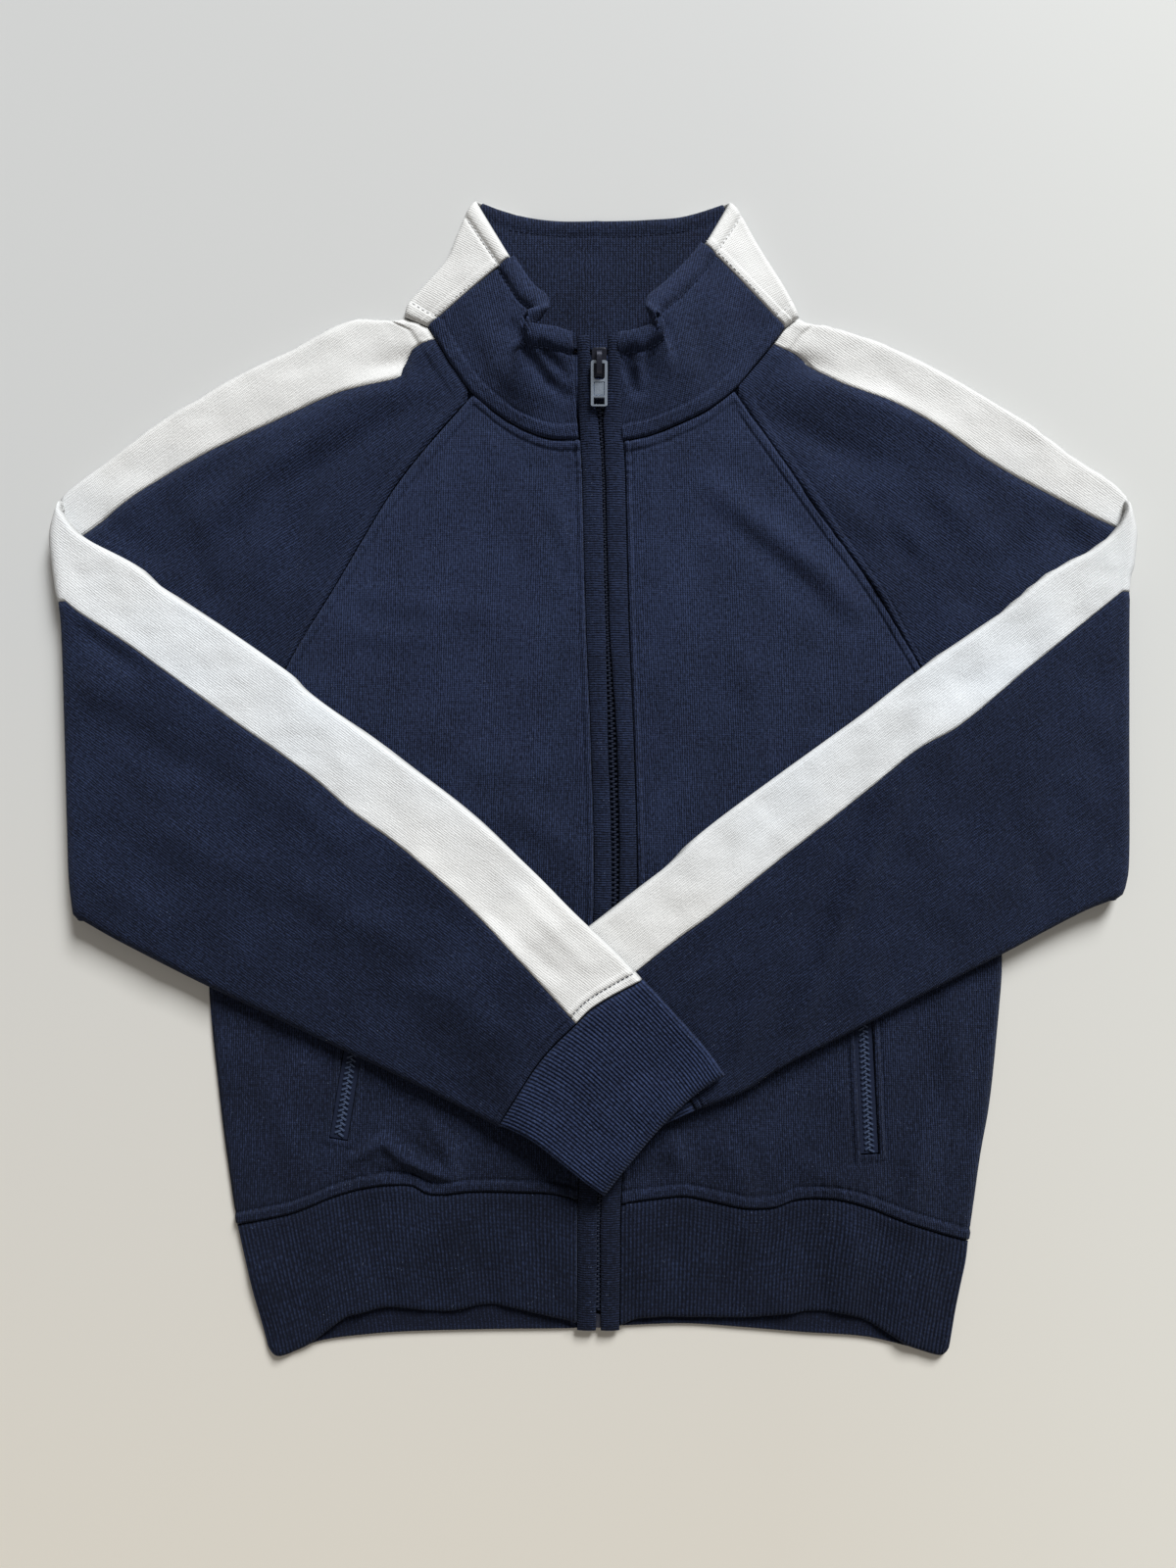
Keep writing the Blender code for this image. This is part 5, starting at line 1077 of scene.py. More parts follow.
def hem():
    parts = {}
    for side in ("right", "left"):
        parts[side] = (spline(bodyShape[side + "HemSeam"], 120), spline(hemShape[side + "Edge"], 120),
                       spline(hemShape[side + "Down"], 30))
    backSeam, backEdge = spline(bodyShape["backHemSeam"], 120), spline(hemShape["backEdge"], 120)
    signs = {"right": -1, "left": 1}
    panel, hemDeep = hemShape["frontShare"], hemShape["deep"]

    def place(u, v, depth):
        deep = depth * cloth["wall"]
        r = 0.5 - 0.5 * math.cos(v * math.pi)  # rows closer together at both ends
        r = r * 0.7 + v * 0.3
        if u < panel:
            part, share = "right", u / panel
        elif u > 1 - panel:
            part, share = "left", (1 - u) / panel
        else:
            part, share = "back", (u - panel) / (1 - 2 * panel)
        if part == "back":
            seamLine, low = backSeam, backEdge
            a, b = at(parts["right"][2], r), at(parts["left"][2], r)
        else:
            seamLine, low, down = parts[part]
            a, b = zipEdge(signs[part], seamLine[0].y, low[0].y, r), at(down, r)
        long = (seamLine[-1] - seamLine[0]).length
        inset = (deep * (part == "back") + share * (long - deep * (2 if part == "back" else 1))) / long
        p = patch(at(seamLine, inset), at(low, inset), a, b,
                  seamLine[0], seamLine[-1], low[0], low[-1], inset, r)
        fromFold = (min(inset, 1 - inset) if part == "back" else 1 - inset) * long - deep
        g = rounding(fromFold, cloth["edgeRound"] - deep * 0.7)
        foot = (1 - r) * hemDeep
        across = max(hemShape["cornerRound"] - fromFold, 0.0)
        down = max(hemShape["cornerRound"] - foot, 0.0)
        if across and down:
            pull = 1 - max(across, down) / math.hypot(across, down)
            inward = 1 if p.x < 0 else -1
            p = Vector((p.x + inward * across * pull, p.y + down * pull))
        roll = rounding(foot, 2.2)
        centre = hemShape["middle"]
        ribs = hemShape["ribs"] * (2 if part == "back" else 1)
        wave = (0.5 - 0.5 * math.cos(share * ribs * 2 * math.pi)) ** 0.7 * (depth == 0)
        if part == "back":
            rib = (0.3 * wave - 0.3) * g * (depth == 0)
            z = centre - (centre - deep) * g * (0.35 + 0.65 * roll) - rib
            return Vector((p.x, p.y - 0.3 * (r == 0.0), z))
        top = bodyTop(p.x, p.y) + 0.35 * (1 + math.sin(p.x / 17.0 + 0.8)) * r
        rolls = 2.3 * ripple(p.x, p.y / 3.0, 21.0, 8.0) + 0.8 * ripple(p.x, p.y / 2.0, 9.0, 9.0)
        top += rolls * smooth(r * 5)
        dip = -seam(r * hemDeep, 0.8) + 1.2 * (1 - roll) if depth == 0 else 0.0
        rib = hemShape["rise"] * wave * roll * smooth(r * 40.0)
        return Vector((p.x, p.y - 0.3 * (r == 0.0), centre + (top - deep - centre + rib - dip) * g))

    def grain(u, v, p):
        return u / panel * hemShape["ribs"] * cloth["ribPitch"], v * hemDeep

    gridCloth("hemRib", 4 * hemShape["ribs"] * 4, 19, place, ribNavy, "navy_rib", grain, hemShape["flat"],
              ["hem_rib"])


hem()
print("body made")


# the collar

collarShape = {
    "middle": 2.7, "wall": 1.2, "edgeRoll": 1.9, "turnIn": 7.0, "stitchDown": 9.5, "bandWidth": 8.0,
    "flatFront": (0.11, 0.09), "flatStripe": (0.075, 0.075), "flatBack": (0.15, 0.08),
    "flatInside": (0.18, 0.08), "stripeDeep": 68.0, "insideDeep": 70.0, "insideStitch": 8.5,
}
collarRight = {
    "side": "right", "sign": -1, "neck": armRight["neck"], "stripeTop": 2,
    "fold": [(-101.5, 246.6), (-99.0, 254.6), (-91.5, 263.0), (-78.9, 277.7), (-73.2, 291.2),
             (-67.8, 303.6), (-63.2, 309.6)],
    "top": [(-63.2, 309.6, 5.4), (-52.4, 293.5, 7.0), (-43.4, 276.4, 9.5), (-33.8, 260.6, 13.0),
            (-26.8, 253.0, 16.6), (-26.6, 247.4, 19.0), (-31.0, 243.6, 21.0), (-36.2, 240.4, 22.0),
            (-36.4, 236.2, 22.5), (-29.6, 234.0, 22.0), (-20.0, 233.6, 20.0), (-11.0, 231.6, 17.8)],
    "backHead": 0.22,
}
collarLeft = {
    "side": "left", "sign": 1, "neck": armLeft["neck"], "stripeTop": 2,
    "fold": [(110.3, 246.6), (108.0, 252.4), (101.8, 263.9), (88.9, 284.5), (78.6, 302.6), (73.2, 308.8)],
    "top": [(73.2, 308.8, 5.4), (67.6, 297.1, 7.0), (58.4, 283.2, 9.5), (48.8, 270.7, 12.5),
            (38.6, 259.2, 16.0), (31.2, 252.4, 18.4), (30.2, 247.2, 20.0), (33.0, 243.2, 21.4),
            (35.2, 239.0, 21.8), (31.0, 235.0, 21.4), (23.0, 232.6, 19.6), (12.6, 231.4, 17.8)],
    "backHead": 0.78,
}
backTop = spline([(-63.2, 309.6), (-44.9, 303.1), (-23.9, 299.0), (4.0, 298.6), (28.7, 299.4),
                  (49.7, 301.4), (73.2, 308.8)], 60)


def collarSurface(collar):
    sign = collar["sign"]
    neck = [Vector(p) for p in collar["neck"]]
    foot = spline(neck[1:], 120)
    navyTop = spline(collar["top"][collar["stripeTop"]:], 160)
    zipY = neck[-1].y, navyTop[-1].y
    head = navyTop[0]
    foot0 = Vector((*neck[1], bodyTop(*neck[1])))

    def seamLine(t):
        return foot0.lerp(head, t) + Vector((0, 0, 1.2 * math.sin(math.pi * t)))

    def zipSide(t):
        y = zipY[0] + (zipY[1] - zipY[0]) * t
        mid = zipAt(y)
        return Vector((mid.x + sign * bodyShape["panelStart"], y, mid.z))

    def footLine(f):
        p = at(foot, f)
        return Vector((p.x, p.y, bodyTop(p.x, p.y)))
    corners = seamLine(0), zipSide(0), seamLine(1), zipSide(1)

    def surface(f, t):
        return patch(footLine(f), at(navyTop, f), seamLine(t), zipSide(t), *corners, f, t)
    return surface, seamLine, neck


def collarFront(collar):
    surface, seamLine, neck = collarSurface(collar)
    collar["surface"], collar["seamLine"], collar["neckLine"] = surface, seamLine, neck
    probe = (surface(0.32, 0.3) - surface(0.3, 0.3)).cross(surface(0.3, 0.32) - surface(0.3, 0.3))
    way = 1.0 if probe.z > 0 else -1.0
    step = 0.01
    bodyShare, rollShare = 0.84, 0.90  # rows of the outside end, then those of the rolled edge

    def frameAt(f, t):
        f0, f1, t0, t1 = max(0.0, f - step), min(1.0, f + step), max(0.0, t - step), min(1.0, t + step)
        up = surface(f, t1) - surface(f, t0)
        normal = (surface(f1, t) - surface(f0, t)).cross(up).normalized() * way
        return normal, up.normalized()
    collar["frameAt"] = frameAt

    def place(f, v, depth):
        t = min(1.0, v / bodyShare)
        normal, up = frameAt(f, t)
        p = surface(f, t)
        length = (surface(f, 1.0) - surface(f, 0.0)).length
        fromTop, fromFoot = (1 - t) * length, t * length
        deep = depth * collarShape["wall"]
        roll = collarShape["edgeRoll"]
        if v <= bodyShare:
            lift = 0.0
            if depth == 0:
                band, down = collarShape["bandWidth"], collarShape["stitchDown"]
                lift = footBand(fromFoot, 0.9, band)
                lift += pucker(abs(fromFoot - band), p.x, 0.15) + pucker(abs(fromTop - down), p.x + p.y, 0.15)
                lift += seam(fromTop - down, 1.0, 1.1) + 1.3 * math.sin(math.pi * min(1.0, fromTop / down))
                lift += (creases(collarCreases, p.x, p.y) * smooth(fromTop / 12.0)
                         + uneven("collarFront", p.x + p.z, p.y))
            p = p + normal * (lift - deep)
        else:
            share = min(1.0, (v - bodyShare) / (rollShare - bodyShare))
            angle = share * math.pi
            p = p + normal * ((roll - deep) * math.cos(angle) - roll) + up * ((roll - deep) * math.sin(angle))
            if v > rollShare:
                p -= up * (v - rollShare) / (1 - rollShare) * collarShape["turnIn"]
        if v == 0.0:
            p += Vector((0, 0.25, 0))
        if f == 0.0:
            p += Vector((-collar["sign"] * 0.15, 0, 0))
        return p

    name = collar["side"].title()
    gridCloth("collarFront" + name, 100, 80, place, bodyNavy, "navy_knit",
              turned(90.0 - 12.0 * collar["sign"]), collarShape["flatFront"],
              ["collar_front_" + collar["side"]],
              wall=0.9)

    # the white panel wraps round the side fold
    sign = collar["sign"]
    fold = spline(collar["fold"], 60)
    backFoot = Vector((neck[0].x - sign * 38.0, neck[0].y - 12.0))
    backHead = at(backTop, collar["backHead"])
    collar["backFoot"], collar["backHeadPoint"] = backFoot, backHead
    middleZ = collarShape["middle"]

    def wrap(u, v, depth):
        s = -0.99 + 1.975 * u
        edgeAt = at(fold, v)
        far3 = seamLine(v)
        far = backFoot.lerp(backHead, v) if s < 0 else Vector((far3.x, far3.y))
        width = (far - edgeAt).length
        deep = depth * cloth["wall"]
        inset = deep + abs(s) * (width - deep)
        p = edgeAt.lerp(far, inset / width)
        g = rounding(inset - deep, cloth["edgeRound"] - deep * 0.7)
        y = p.y + 0.3 * (v == 0.0)
        roll = rounding((1 - v) * 60.0, 2.4)
        if s < 0:
            return Vector((p.x, y, middleZ - (middleZ - deep) * g * (0.4 + 0.6 * roll)))
        top = 2 * middleZ + (far3.z - 2 * middleZ) * smooth(inset / width)
        top *= 0.85 + 0.15 * smooth(v / 0.05)
        if depth == 0:
            long = collarShape["stripeDeep"]
            fromFoot, fromTop, fromSeam = v * long, (1 - v) * long, width - inset
            band, down = collarShape["bandWidth"], collarShape["stitchDown"]
            top += footBand(fromFoot, 0.8, band)
            top += seam(fromTop - down, 0.8, 1.1) + 0.9 * math.sin(math.pi * min(1.0, fromTop / down))
            top += 0.4 * plateau(fromSeam, 0.8, 5.0) + seam(fromSeam, 0.7) + uneven("collarStripe", p.x, p.y)
        return Vector((p.x, y, middleZ + (top - deep - middleZ) * g * (0.35 + 0.65 * roll)))

    gridCloth("collarStripe" + name, 70, 70, wrap, whiteKnit, "white_knit", turned(60.0 * -sign + 90.0),
              collarShape["flatStripe"], ["collar_stripe_" + collar["side"]])


collarFront(collarRight)
collarFront(collarLeft)


def collarBack():
    def sheet(name, foot, shares, low, high, look, flat, node, face):
        footLine = spline(foot, 60)

        def place(f, v, depth):
            p = at(footLine, f).lerp(at(backTop, shares[0] + (shares[1] - shares[0]) * f), v)
            z = low if (depth == 0) == (face < 0) else high
            if face > 0 and depth == 0:
                fromTop, down = (1 - v) * collarShape["insideDeep"], collarShape["insideStitch"]
                z -= 0.35 * math.exp(-((fromTop - down) / 1.2) ** 2)
                z += 0.4 * math.sin(math.pi * min(1.0, fromTop / down)) * rounding(fromTop, 2.0)
                middleBump = 0.5 * math.exp(-((p.x - 1.5) / 2.0) ** 2) * smooth((16.0 - fromTop) / 4.0)
                z += uneven("collarInside", p.x, p.y) + middleBump
                z -= 0.7 * (1 - rounding(fromTop, 2.4))
            return Vector((p.x, p.y, z))
        gridCloth(name, 80, 50, place, look, "navy_knit", turned(90.0), flat, [node], wall=high - low)

    right, left = collarRight, collarLeft
    sheet("collarBack", [right["backFoot"] + Vector((0.6, 0.4)), (-58.0, 235.6), (-20.0, 230.2), (30.0, 230.2),
                         (67.0, 235.6), left["backFoot"] + Vector((-0.6, 0.4))], (0.226, 0.774), 0.0, 1.2,
          bodyNavy, collarShape["flatBack"], "collar_back", -1)
    sheet("collarInside", [(-84.0, 256.0), (-60.0, 236.2), (-20.0, 230.2), (30.0, 230.2), (69.0, 236.2),
                           (93.0, 256.0)], (0.03, 0.97), 1.9, 2.9, insideNavyShaded, collarShape["flatInside"],
          "collar_inside", 1)


collarBack()
print("collar made")


# the zip

zipShape = {
    "top": 231.2, "bottom": -294.6, "tapeTop": 230.0, "tapeBottom": -292.0, "chainBottom": -284.0,
    "boxMiddle": -290.0, "tapeUnder": -1.8, "tapeUpper": -1.2, "tapeOuter": 10.8,
    "chainHalf": 2.2, "toothPitch": 1.35, "sliderTop": 225.0, "sliderLength": 15.0,
    "sliderHalf": 4.0, "bridgeHalf": 1.5, "hingeY": 217.8,
    "pullLength": 22.9, "pullWidth": 8.7, "pullThick": 1.5, "slotEnd": -8.9, "panel": (-9.9, -16.9),
    "window": (-17.4, -21.3), "holeHalf": 2.9, "flatPlacket": (0.028, 0.53), "flatTape": (0.012, 0.525),
}


def closeUp(bm):  # joins the ring's ends and fills both mouths
    bmesh.ops.remove_doubles(bm, verts=bm.verts, dist=cloth["weld"])
    bmesh.ops.holes_fill(bm, edges=[e for e in bm.edges if e.is_boundary])
    bmesh.ops.recalc_face_normals(bm, faces=bm.faces)


def strip(name, profile, yTop, yBottom, rows, look, slot, replaced, grain=None, sheetFlat=None):
    # a ring of points, profile(y), drawn along the zip line
    bm = bmesh.new()
    count = len(profile(yTop))
    bmesh.ops.create_grid(bm, x_segments=count, y_segments=round(rows * fine), size=0.5)
    layer = bm.loops.layers.uv.new("grain")
    shares = {v: (v.co.x + 0.5, v.co.y + 0.5) for v in bm.verts}
    for face in bm.faces:
        for loop in face.loops:
            s, t = shares[loop.vert]
            y = yTop + (yBottom - yTop) * t
            loop[layer].uv = (y, s * 20.0) if grain == "crosswise" else (s * 20.0, y)
    for v, (s, t) in shares.items():
        y = yTop + (yBottom - yTop) * t
        ring = profile(y)
        v.co = (ring[round(s * count) % count] - middle) * mm
    closeUp(bm)
    area = sum(face.calc_area() for face in bm.faces) / 2  # one face of the drawn strip
    made = finish(bm, name, look, slot, replaced, smoothAngle=55)
    if sheetFlat:
        area = min(area, sheetFlat[0] * sheetFlat[1])
    return made


def rounded(points, steps=3):  # a ring with soft corners
    ring = []
    for k, p in enumerate(points):
        a, b = points[k - 1], points[(k + 1) % len(points)]
        for j in range(steps):
            t = (j + 0.5) / steps
            start, end = p.lerp(a, 0.35), p.lerp(b, 0.35)
            ring.append(start.lerp(p, t).lerp(p.lerp(end, t), t))
    return ring


for side, sign in (("right", -1), ("left", 1)):
    def placket(y, sign=sign):
        mid, opening = zipAt(y), zipOpening(y)
        outer = bodyShape["placketOuter"]
        bump = 0.12 * math.sin(y / 3.1 + sign) + 0.1 * math.sin(y / 7.3)
        wide = outer - opening
        profile = [(outer, -0.9), (outer - 0.1, 0.1), (outer - 0.16 * wide, 1.0 + bump),
                   (outer - 0.4 * wide, 1.75 + bump), (opening + 0.3 * wide, 1.9 + bump),
                   (opening + 0.12 * wide, 1.5 + bump), (opening, 0.8), (opening + 0.1, -0.1),
                   (max(3.4, opening + 0.8), -0.75)]
        end = min(1.0, rounding(y - zipShape["bottom"], 4.5), rounding(zipShape["top"] - y, 2.5))
        ring = []
        for across, up in profile:
            x = mid.x + sign * (across + bump * 0.5 * (across < 5))
            ring.append(Vector((x, y, mid.z + up * (0.5 + 0.5 * end))))
        return rounded(ring)
    strip("placket" + side.title(), placket, zipShape["top"], zipShape["bottom"], 220, bindingNavy,
          "navy_binding", ["placket_" + side], grain="crosswise", sheetFlat=zipShape["flatPlacket"])

    def tape(y, sign=sign):
        mid = zipAt(y)
        start = max(zipShape["chainHalf"] + 0.1, zipOpening(y) - 0.2)
        outer, under, upper = zipShape["tapeOuter"], zipShape["tapeUnder"], zipShape["tapeUpper"]
        return [Vector((mid.x + sign * across, y, mid.z + up)) for across, up in (
            (start, under), (outer, under), (outer, upper), (start, upper))]
    strip("zipTape" + side.title(), tape, zipShape["tapeTop"], zipShape["tapeBottom"], 160, tapeNavy,
          "zip_tape", ["zip_tape_" + side], sheetFlat=zipShape["flatTape"])


def stampMesh(make):  # one small shape, stamped many times into a joined mesh
    bm = bmesh.new()
    make(bm)
    mesh = bpy.data.meshes.new("stamp")
    bm.to_mesh(mesh)
    bm.free()
    return mesh


cubeStamp = stampMesh(lambda bm: bmesh.ops.create_cube(bm, size=1.0))
beadStamp = stampMesh(lambda bm: bmesh.ops.create_uvsphere(bm, u_segments=6, v_segments=4, radius=1.0))


def stamp(bm, mesh, matrix):
    start = len(bm.verts)
    bm.from_mesh(mesh)
    bm.verts.ensure_lookup_table()
    for v in bm.verts[start:]:
        v.co = matrix @ v.co


def boxInto(bm, size, place, turn=None):
    matrix = Matrix.Translation((Vector(place) - middle) * mm)
    if turn:
        matrix = matrix @ turn
    stamp(bm, cubeStamp, matrix @ Matrix.Diagonal((*(Vector(size) * mm), 1.0)))


def chain():
    bm = bmesh.new()
    y = zipShape["sliderTop"] - zipShape["sliderLength"] - 1.0
    k = 0
    while y > zipShape["chainBottom"]:
        mid = zipAt(y)
        side = 1 if k % 2 else -1
        slope = math.atan2(zipAt(y + 1).z - zipAt(y - 1).z, 2.0)
        turn = Matrix.Rotation(slope, 4, "X")
        boxInto(bm, (2.7, 1.0, 1.15), (mid.x + side * 0.75, y, mid.z - 0.75), turn)
        boxInto(bm, (0.9, 1.25, 1.35), (mid.x + side * 1.8, y, mid.z - 0.85), turn)
        y -= zipShape["toothPitch"]
        k += 1
    made = finish(bm, "zipChain", toothNavy, "zip_teeth", ["zip_chain"], smoothAngle=30)
    softEdges(made, 0.18)


chain()


def zipHardware():
    shape = zipShape
    top, bottom = zipAt(shape["hingeY"]), zipAt(shape["hingeY"] - shape["pullLength"])
    slope = math.atan2(top.z - bottom.z, shape["pullLength"])
    pivot = Vector((top.x, shape["hingeY"], top.z + 3.0))
    place = Matrix.Translation((pivot - middle) * mm) @ Matrix.Rotation(slope, 4, "X")

    def block(low, high, bevel, segments):  # a box with its upright edges rounded
        bm = bmesh.new()
        size = Vector(high) - Vector(low)
        matrix = Matrix.Translation((Vector(low) + Vector(high)) / 2 * mm)
        matrix = matrix @ Matrix.Diagonal((*(size * mm), 1.0))
        bmesh.ops.create_cube(bm, size=1.0, matrix=matrix)
        bevelled(bm, [e for e in bm.edges if upright(e)], bevel, segments)
        return bm

    def upright(e):
        return abs(e.verts[0].co.z - e.verts[1].co.z) > 0.4 * mm

    def settle(bm, name, look, slot, replaced, rides=body, soft=0.25):
        bmesh.ops.transform(bm, matrix=place, verts=bm.verts)
        bmesh.ops.recalc_face_normals(bm, faces=bm.faces)
        made = finish(bm, name, look, slot, replaced, rides=rides, smoothAngle=40)
        softEdges(made, soft, 2, 40)

    ahead = shape["sliderTop"] - shape["hingeY"]
    behind = ahead - shape["sliderLength"]
    bm = block((-shape["sliderHalf"], behind, -2.4), (shape["sliderHalf"], ahead, -1.2), 1.6, 4)
    for v in bm.verts:  # the plates narrow towards the teeth
        v.co.x *= 0.86 + 0.14 * smooth((v.co.y / mm - behind) / shape["sliderLength"])
    settle(bm, "zipSlider", sliderDark, "dark_metal", ["zip_slider"])
    bm = block((-shape["sliderHalf"], behind, -4.6), (shape["sliderHalf"], ahead, -3.5), 1.6, 4)
    settle(bm, "zipSliderUnder", sliderDark, "dark_metal", [])
    bm = block((-1.0, ahead - 4.5, -3.6), (1.0, ahead - 0.6, -2.3), 0.4, 2)
    settle(bm, "zipSliderWedge", sliderDark, "dark_metal", [])
    # the bridge that the pull tab hangs from, an arch bent from one flat strip
    bm = bmesh.new()
    half = shape["bridgeHalf"]
    path = [(behind + 1.0, -1.3), (behind + 1.1, 0.5), (behind + 2.0, 1.7), (behind + 3.6, 2.15),
            (ahead - 5.0, 2.15), (ahead - 3.4, 1.7), (ahead - 2.5, 0.5), (ahead - 2.4, -1.3)]
    start = [bm.verts.new(Vector((x, *path[0])) * mm) for x in (-half, half)]
    edge = bm.edges.new(start)
    for (y0, z0), (y1, z1) in zip(path, path[1:]):
        grown = bmesh.ops.extrude_edge_only(bm, edges=[edge])["geom"]
        verts = [g for g in grown if isinstance(g, bmesh.types.BMVert)]
        edge = [g for g in grown if isinstance(g, bmesh.types.BMEdge)][0]
        bmesh.ops.translate(bm, verts=verts, vec=Vector((0, y1 - y0, z1 - z0)) * mm)
    bmesh.ops.solidify(bm, geom=list(bm.faces), thickness=0.9 * mm)
    settle(bm, "zipBridge", sliderDark, "dark_metal", [], soft=0.3)

    # pull tab: a flat plate with a slot round the bridge, a plain sunk panel and a small window
    wide, long, thick = shape["pullWidth"] / 2, shape["pullLength"], shape["pullThick"] / 2
    hole, slotEnd, panelEnds, window = shape["holeHalf"], shape["slotEnd"], shape["panel"], shape["window"]
    bm = bmesh.new()
    xs = (-wide, -hole, hole, wide)
    ys = (0.75, -0.75, slotEnd, *panelEnds, *window, 0.75 - long)
    bmesh.ops.create_grid(bm, x_segments=3, y_segments=7, size=0.5)
    for v in bm.verts:
        i, j = round((v.co.x + 0.5) * 3), round((0.5 - v.co.y) * 7)
        v.co = Vector((xs[i], ys[j], thick)) * mm
    holes, panel = [], []
    for face in bm.faces:
        c = face.calc_center_median() / mm
        if abs(c.x) < hole:
            if slotEnd < c.y < -0.75 or window[1] < c.y < window[0]:
                holes.append(face)
            elif panelEnds[1] < c.y < panelEnds[0]:
                panel.append(face)
    bmesh.ops.delete(bm, geom=holes, context="FACES")
    bmesh.ops.inset_region(bm, faces=panel, thickness=0.3 * mm, depth=-0.6 * mm)
    bmesh.ops.inset_region(bm, faces=panel, thickness=0.45 * mm, depth=0.4 * mm)
    bmesh.ops.solidify(bm, geom=list(bm.faces), thickness=2 * thick * mm)
    corners = [e for e in bm.edges if upright(e) and abs(e.verts[0].co.x / mm) > wide - 0.1
               and (e.verts[0].co.y / mm > 0.7 or e.verts[0].co.y / mm < 0.8 - long)]
    bevelled(bm, corners, 1.3, 4)
    slotEnds = [e for e in bm.edges if upright(e) and abs(abs(e.verts[0].co.x / mm) - hole) < 0.05
                and abs(e.verts[0].co.y / mm - slotEnd) < 0.05]
    bevelled(bm, slotEnds, 1.6, 5)
    settle(bm, "zipPull", pullSteel, "pull_metal", ["zip_pull"], rides="pull_tab")

    bm = bmesh.new()
    mid = zipAt(shape["boxMiddle"])
    boxInto(bm, (4.4, 7.2, 1.7), (mid.x, shape["boxMiddle"], mid.z - 0.95))
    bevelled(bm, list(bm.edges), 0.4)
    finish(bm, "zipBox", sliderDark, "dark_metal", ["zip_box"], smoothAngle=40)


zipHardware()


# pocket zips

pocketShape = {"tapeHalf": 4.7, "chainHalf": 2.0, "toothPitch": 1.45, "toothLean": 0.45, "sliderDown": 4.5}


def pocketZip(side):
    (x0, y0), (x1, y1) = bodyShape["pocket" + side.title()]
    top, bottom = Vector((x0, y0)), Vector((x1, y1))
    length = (bottom - top).length
    along = (bottom - top) / length
    across = Vector((along.y, -along.x))

    def tape(t):
        p = top.lerp(bottom, 0.004 + 0.992 * t)
        z = bodyTop(p.x, p.y)
        wide, near = pocketShape["tapeHalf"], pocketShape["chainHalf"]
        return [Vector((*(p + across * off), z + up)) for off, up in (
            (-wide, -1.4), (wide, -1.4), (wide, -0.8), (near, -0.7), (-near, -0.7), (-wide, -0.8))]

    bm = bmesh.new()
    count = 6
    bmesh.ops.create_grid(bm, x_segments=count, y_segments=30, size=0.5)
    for v in bm.verts:
        s, t = v.co.x + 0.5, v.co.y + 0.5
        v.co = (tape(t)[round(s * count) % count] - middle) * mm
    closeUp(bm)
    area = sum(f.calc_area() for f in bm.faces) / 2  # one face of the drawn strip
    made = finish(bm, "pocketTape" + side.title(), tapeNavy, "zip_tape", ["pocket_zip_" + side],
                  smoothAngle=40)

    bm = bmesh.new()
    angle = math.atan2(along.x, -along.y)
    turn = Matrix.Rotation(angle, 4, "Z")
    d, k = 3.0, 0
    while d < length - 1.5:
        p = top + along * d
        off = 1 if k % 2 else -1
        q = p + across * off
        tilt = Matrix.Rotation(off * pocketShape["toothLean"], 4, "Z")
        boxInto(bm, (3.3, 1.0, 0.9), (q.x, q.y, bodyTop(p.x, p.y) - 0.35), turn @ tilt)
        d += pocketShape["toothPitch"]
        k += 1
    made = finish(bm, "pocketTeeth" + side.title(), toothSteel, "zip_tape", [], smoothAngle=30)
    softEdges(made, 0.15)

    p = top + along * pocketShape["sliderDown"]
    bm = bmesh.new()
    boxInto(bm, (5.0, 8.8, 0.9), (p.x, p.y, bodyTop(p.x, p.y) + 0.95), turn)
    bevelled(bm, list(bm.edges), 0.35)
    finish(bm, "pocketSlider" + side.title(), sliderDark, "dark_metal", ["pocket_slider_" + side],
           smoothAngle=40)


pocketZip("right")
pocketZip("left")
print("zips made")


# stitching

stitches = {
    "length": 2.1, "gap": 0.8, "radius": 0.22, "raglan": 2.4, "hem": 5.6, "zip": 2.2, "pocket": 3.7,
    "collarSeam": 2.2,  # how far each line stands from its seam
}


def stitchRun(bm, line, length=stitches["length"], gap=stitches["gap"]):
    radius = stitches["radius"]
    run = [0.0]
    for p, q in zip(line, line[1:]):
        run.append(run[-1] + (q - p).length)
    place, k = gap, 0
    while place + length < run[-1]:
        ends = []
        for goal in (place, place + length):
            while k < len(line) - 2 and run[k + 1] < goal:
                k += 1
            ends.append(line[k].lerp(line[k + 1], (goal - run[k]) / max(1e-6, run[k + 1] - run[k])))
        a, b = ends
        turn = (b - a).to_track_quat("X", "Z").to_matrix().to_4x4()
        matrix = (Matrix.Translation(((a + b) / 2 - middle) * mm) @ turn
                  @ Matrix.Diagonal(((b - a).length / 2 * mm, radius * 1.1 * mm, radius * mm, 1.0)))
        stamp(bm, beadStamp, matrix)
        place += length + gap


def offsetLine(line, distance):  # moves a plan line sideways, to its left
    moved = []
    for k, p in enumerate(line):
        d = (line[min(k + 1, len(line) - 1)] - line[max(k - 1, 0)]).normalized()
        moved.append(Vector((p.x - d.y * distance, p.y + d.x * distance)))
    return moved


def sleeveTopAt(arm, p):  # height of the upper arm's front face at a place near the raglan seam
    return (2 * cloth["seamHalf"] + neckLift(*p) + creases(sleeveFolds, *p) + creases(upperCreases, *p)
            + uneven("upper", *p))


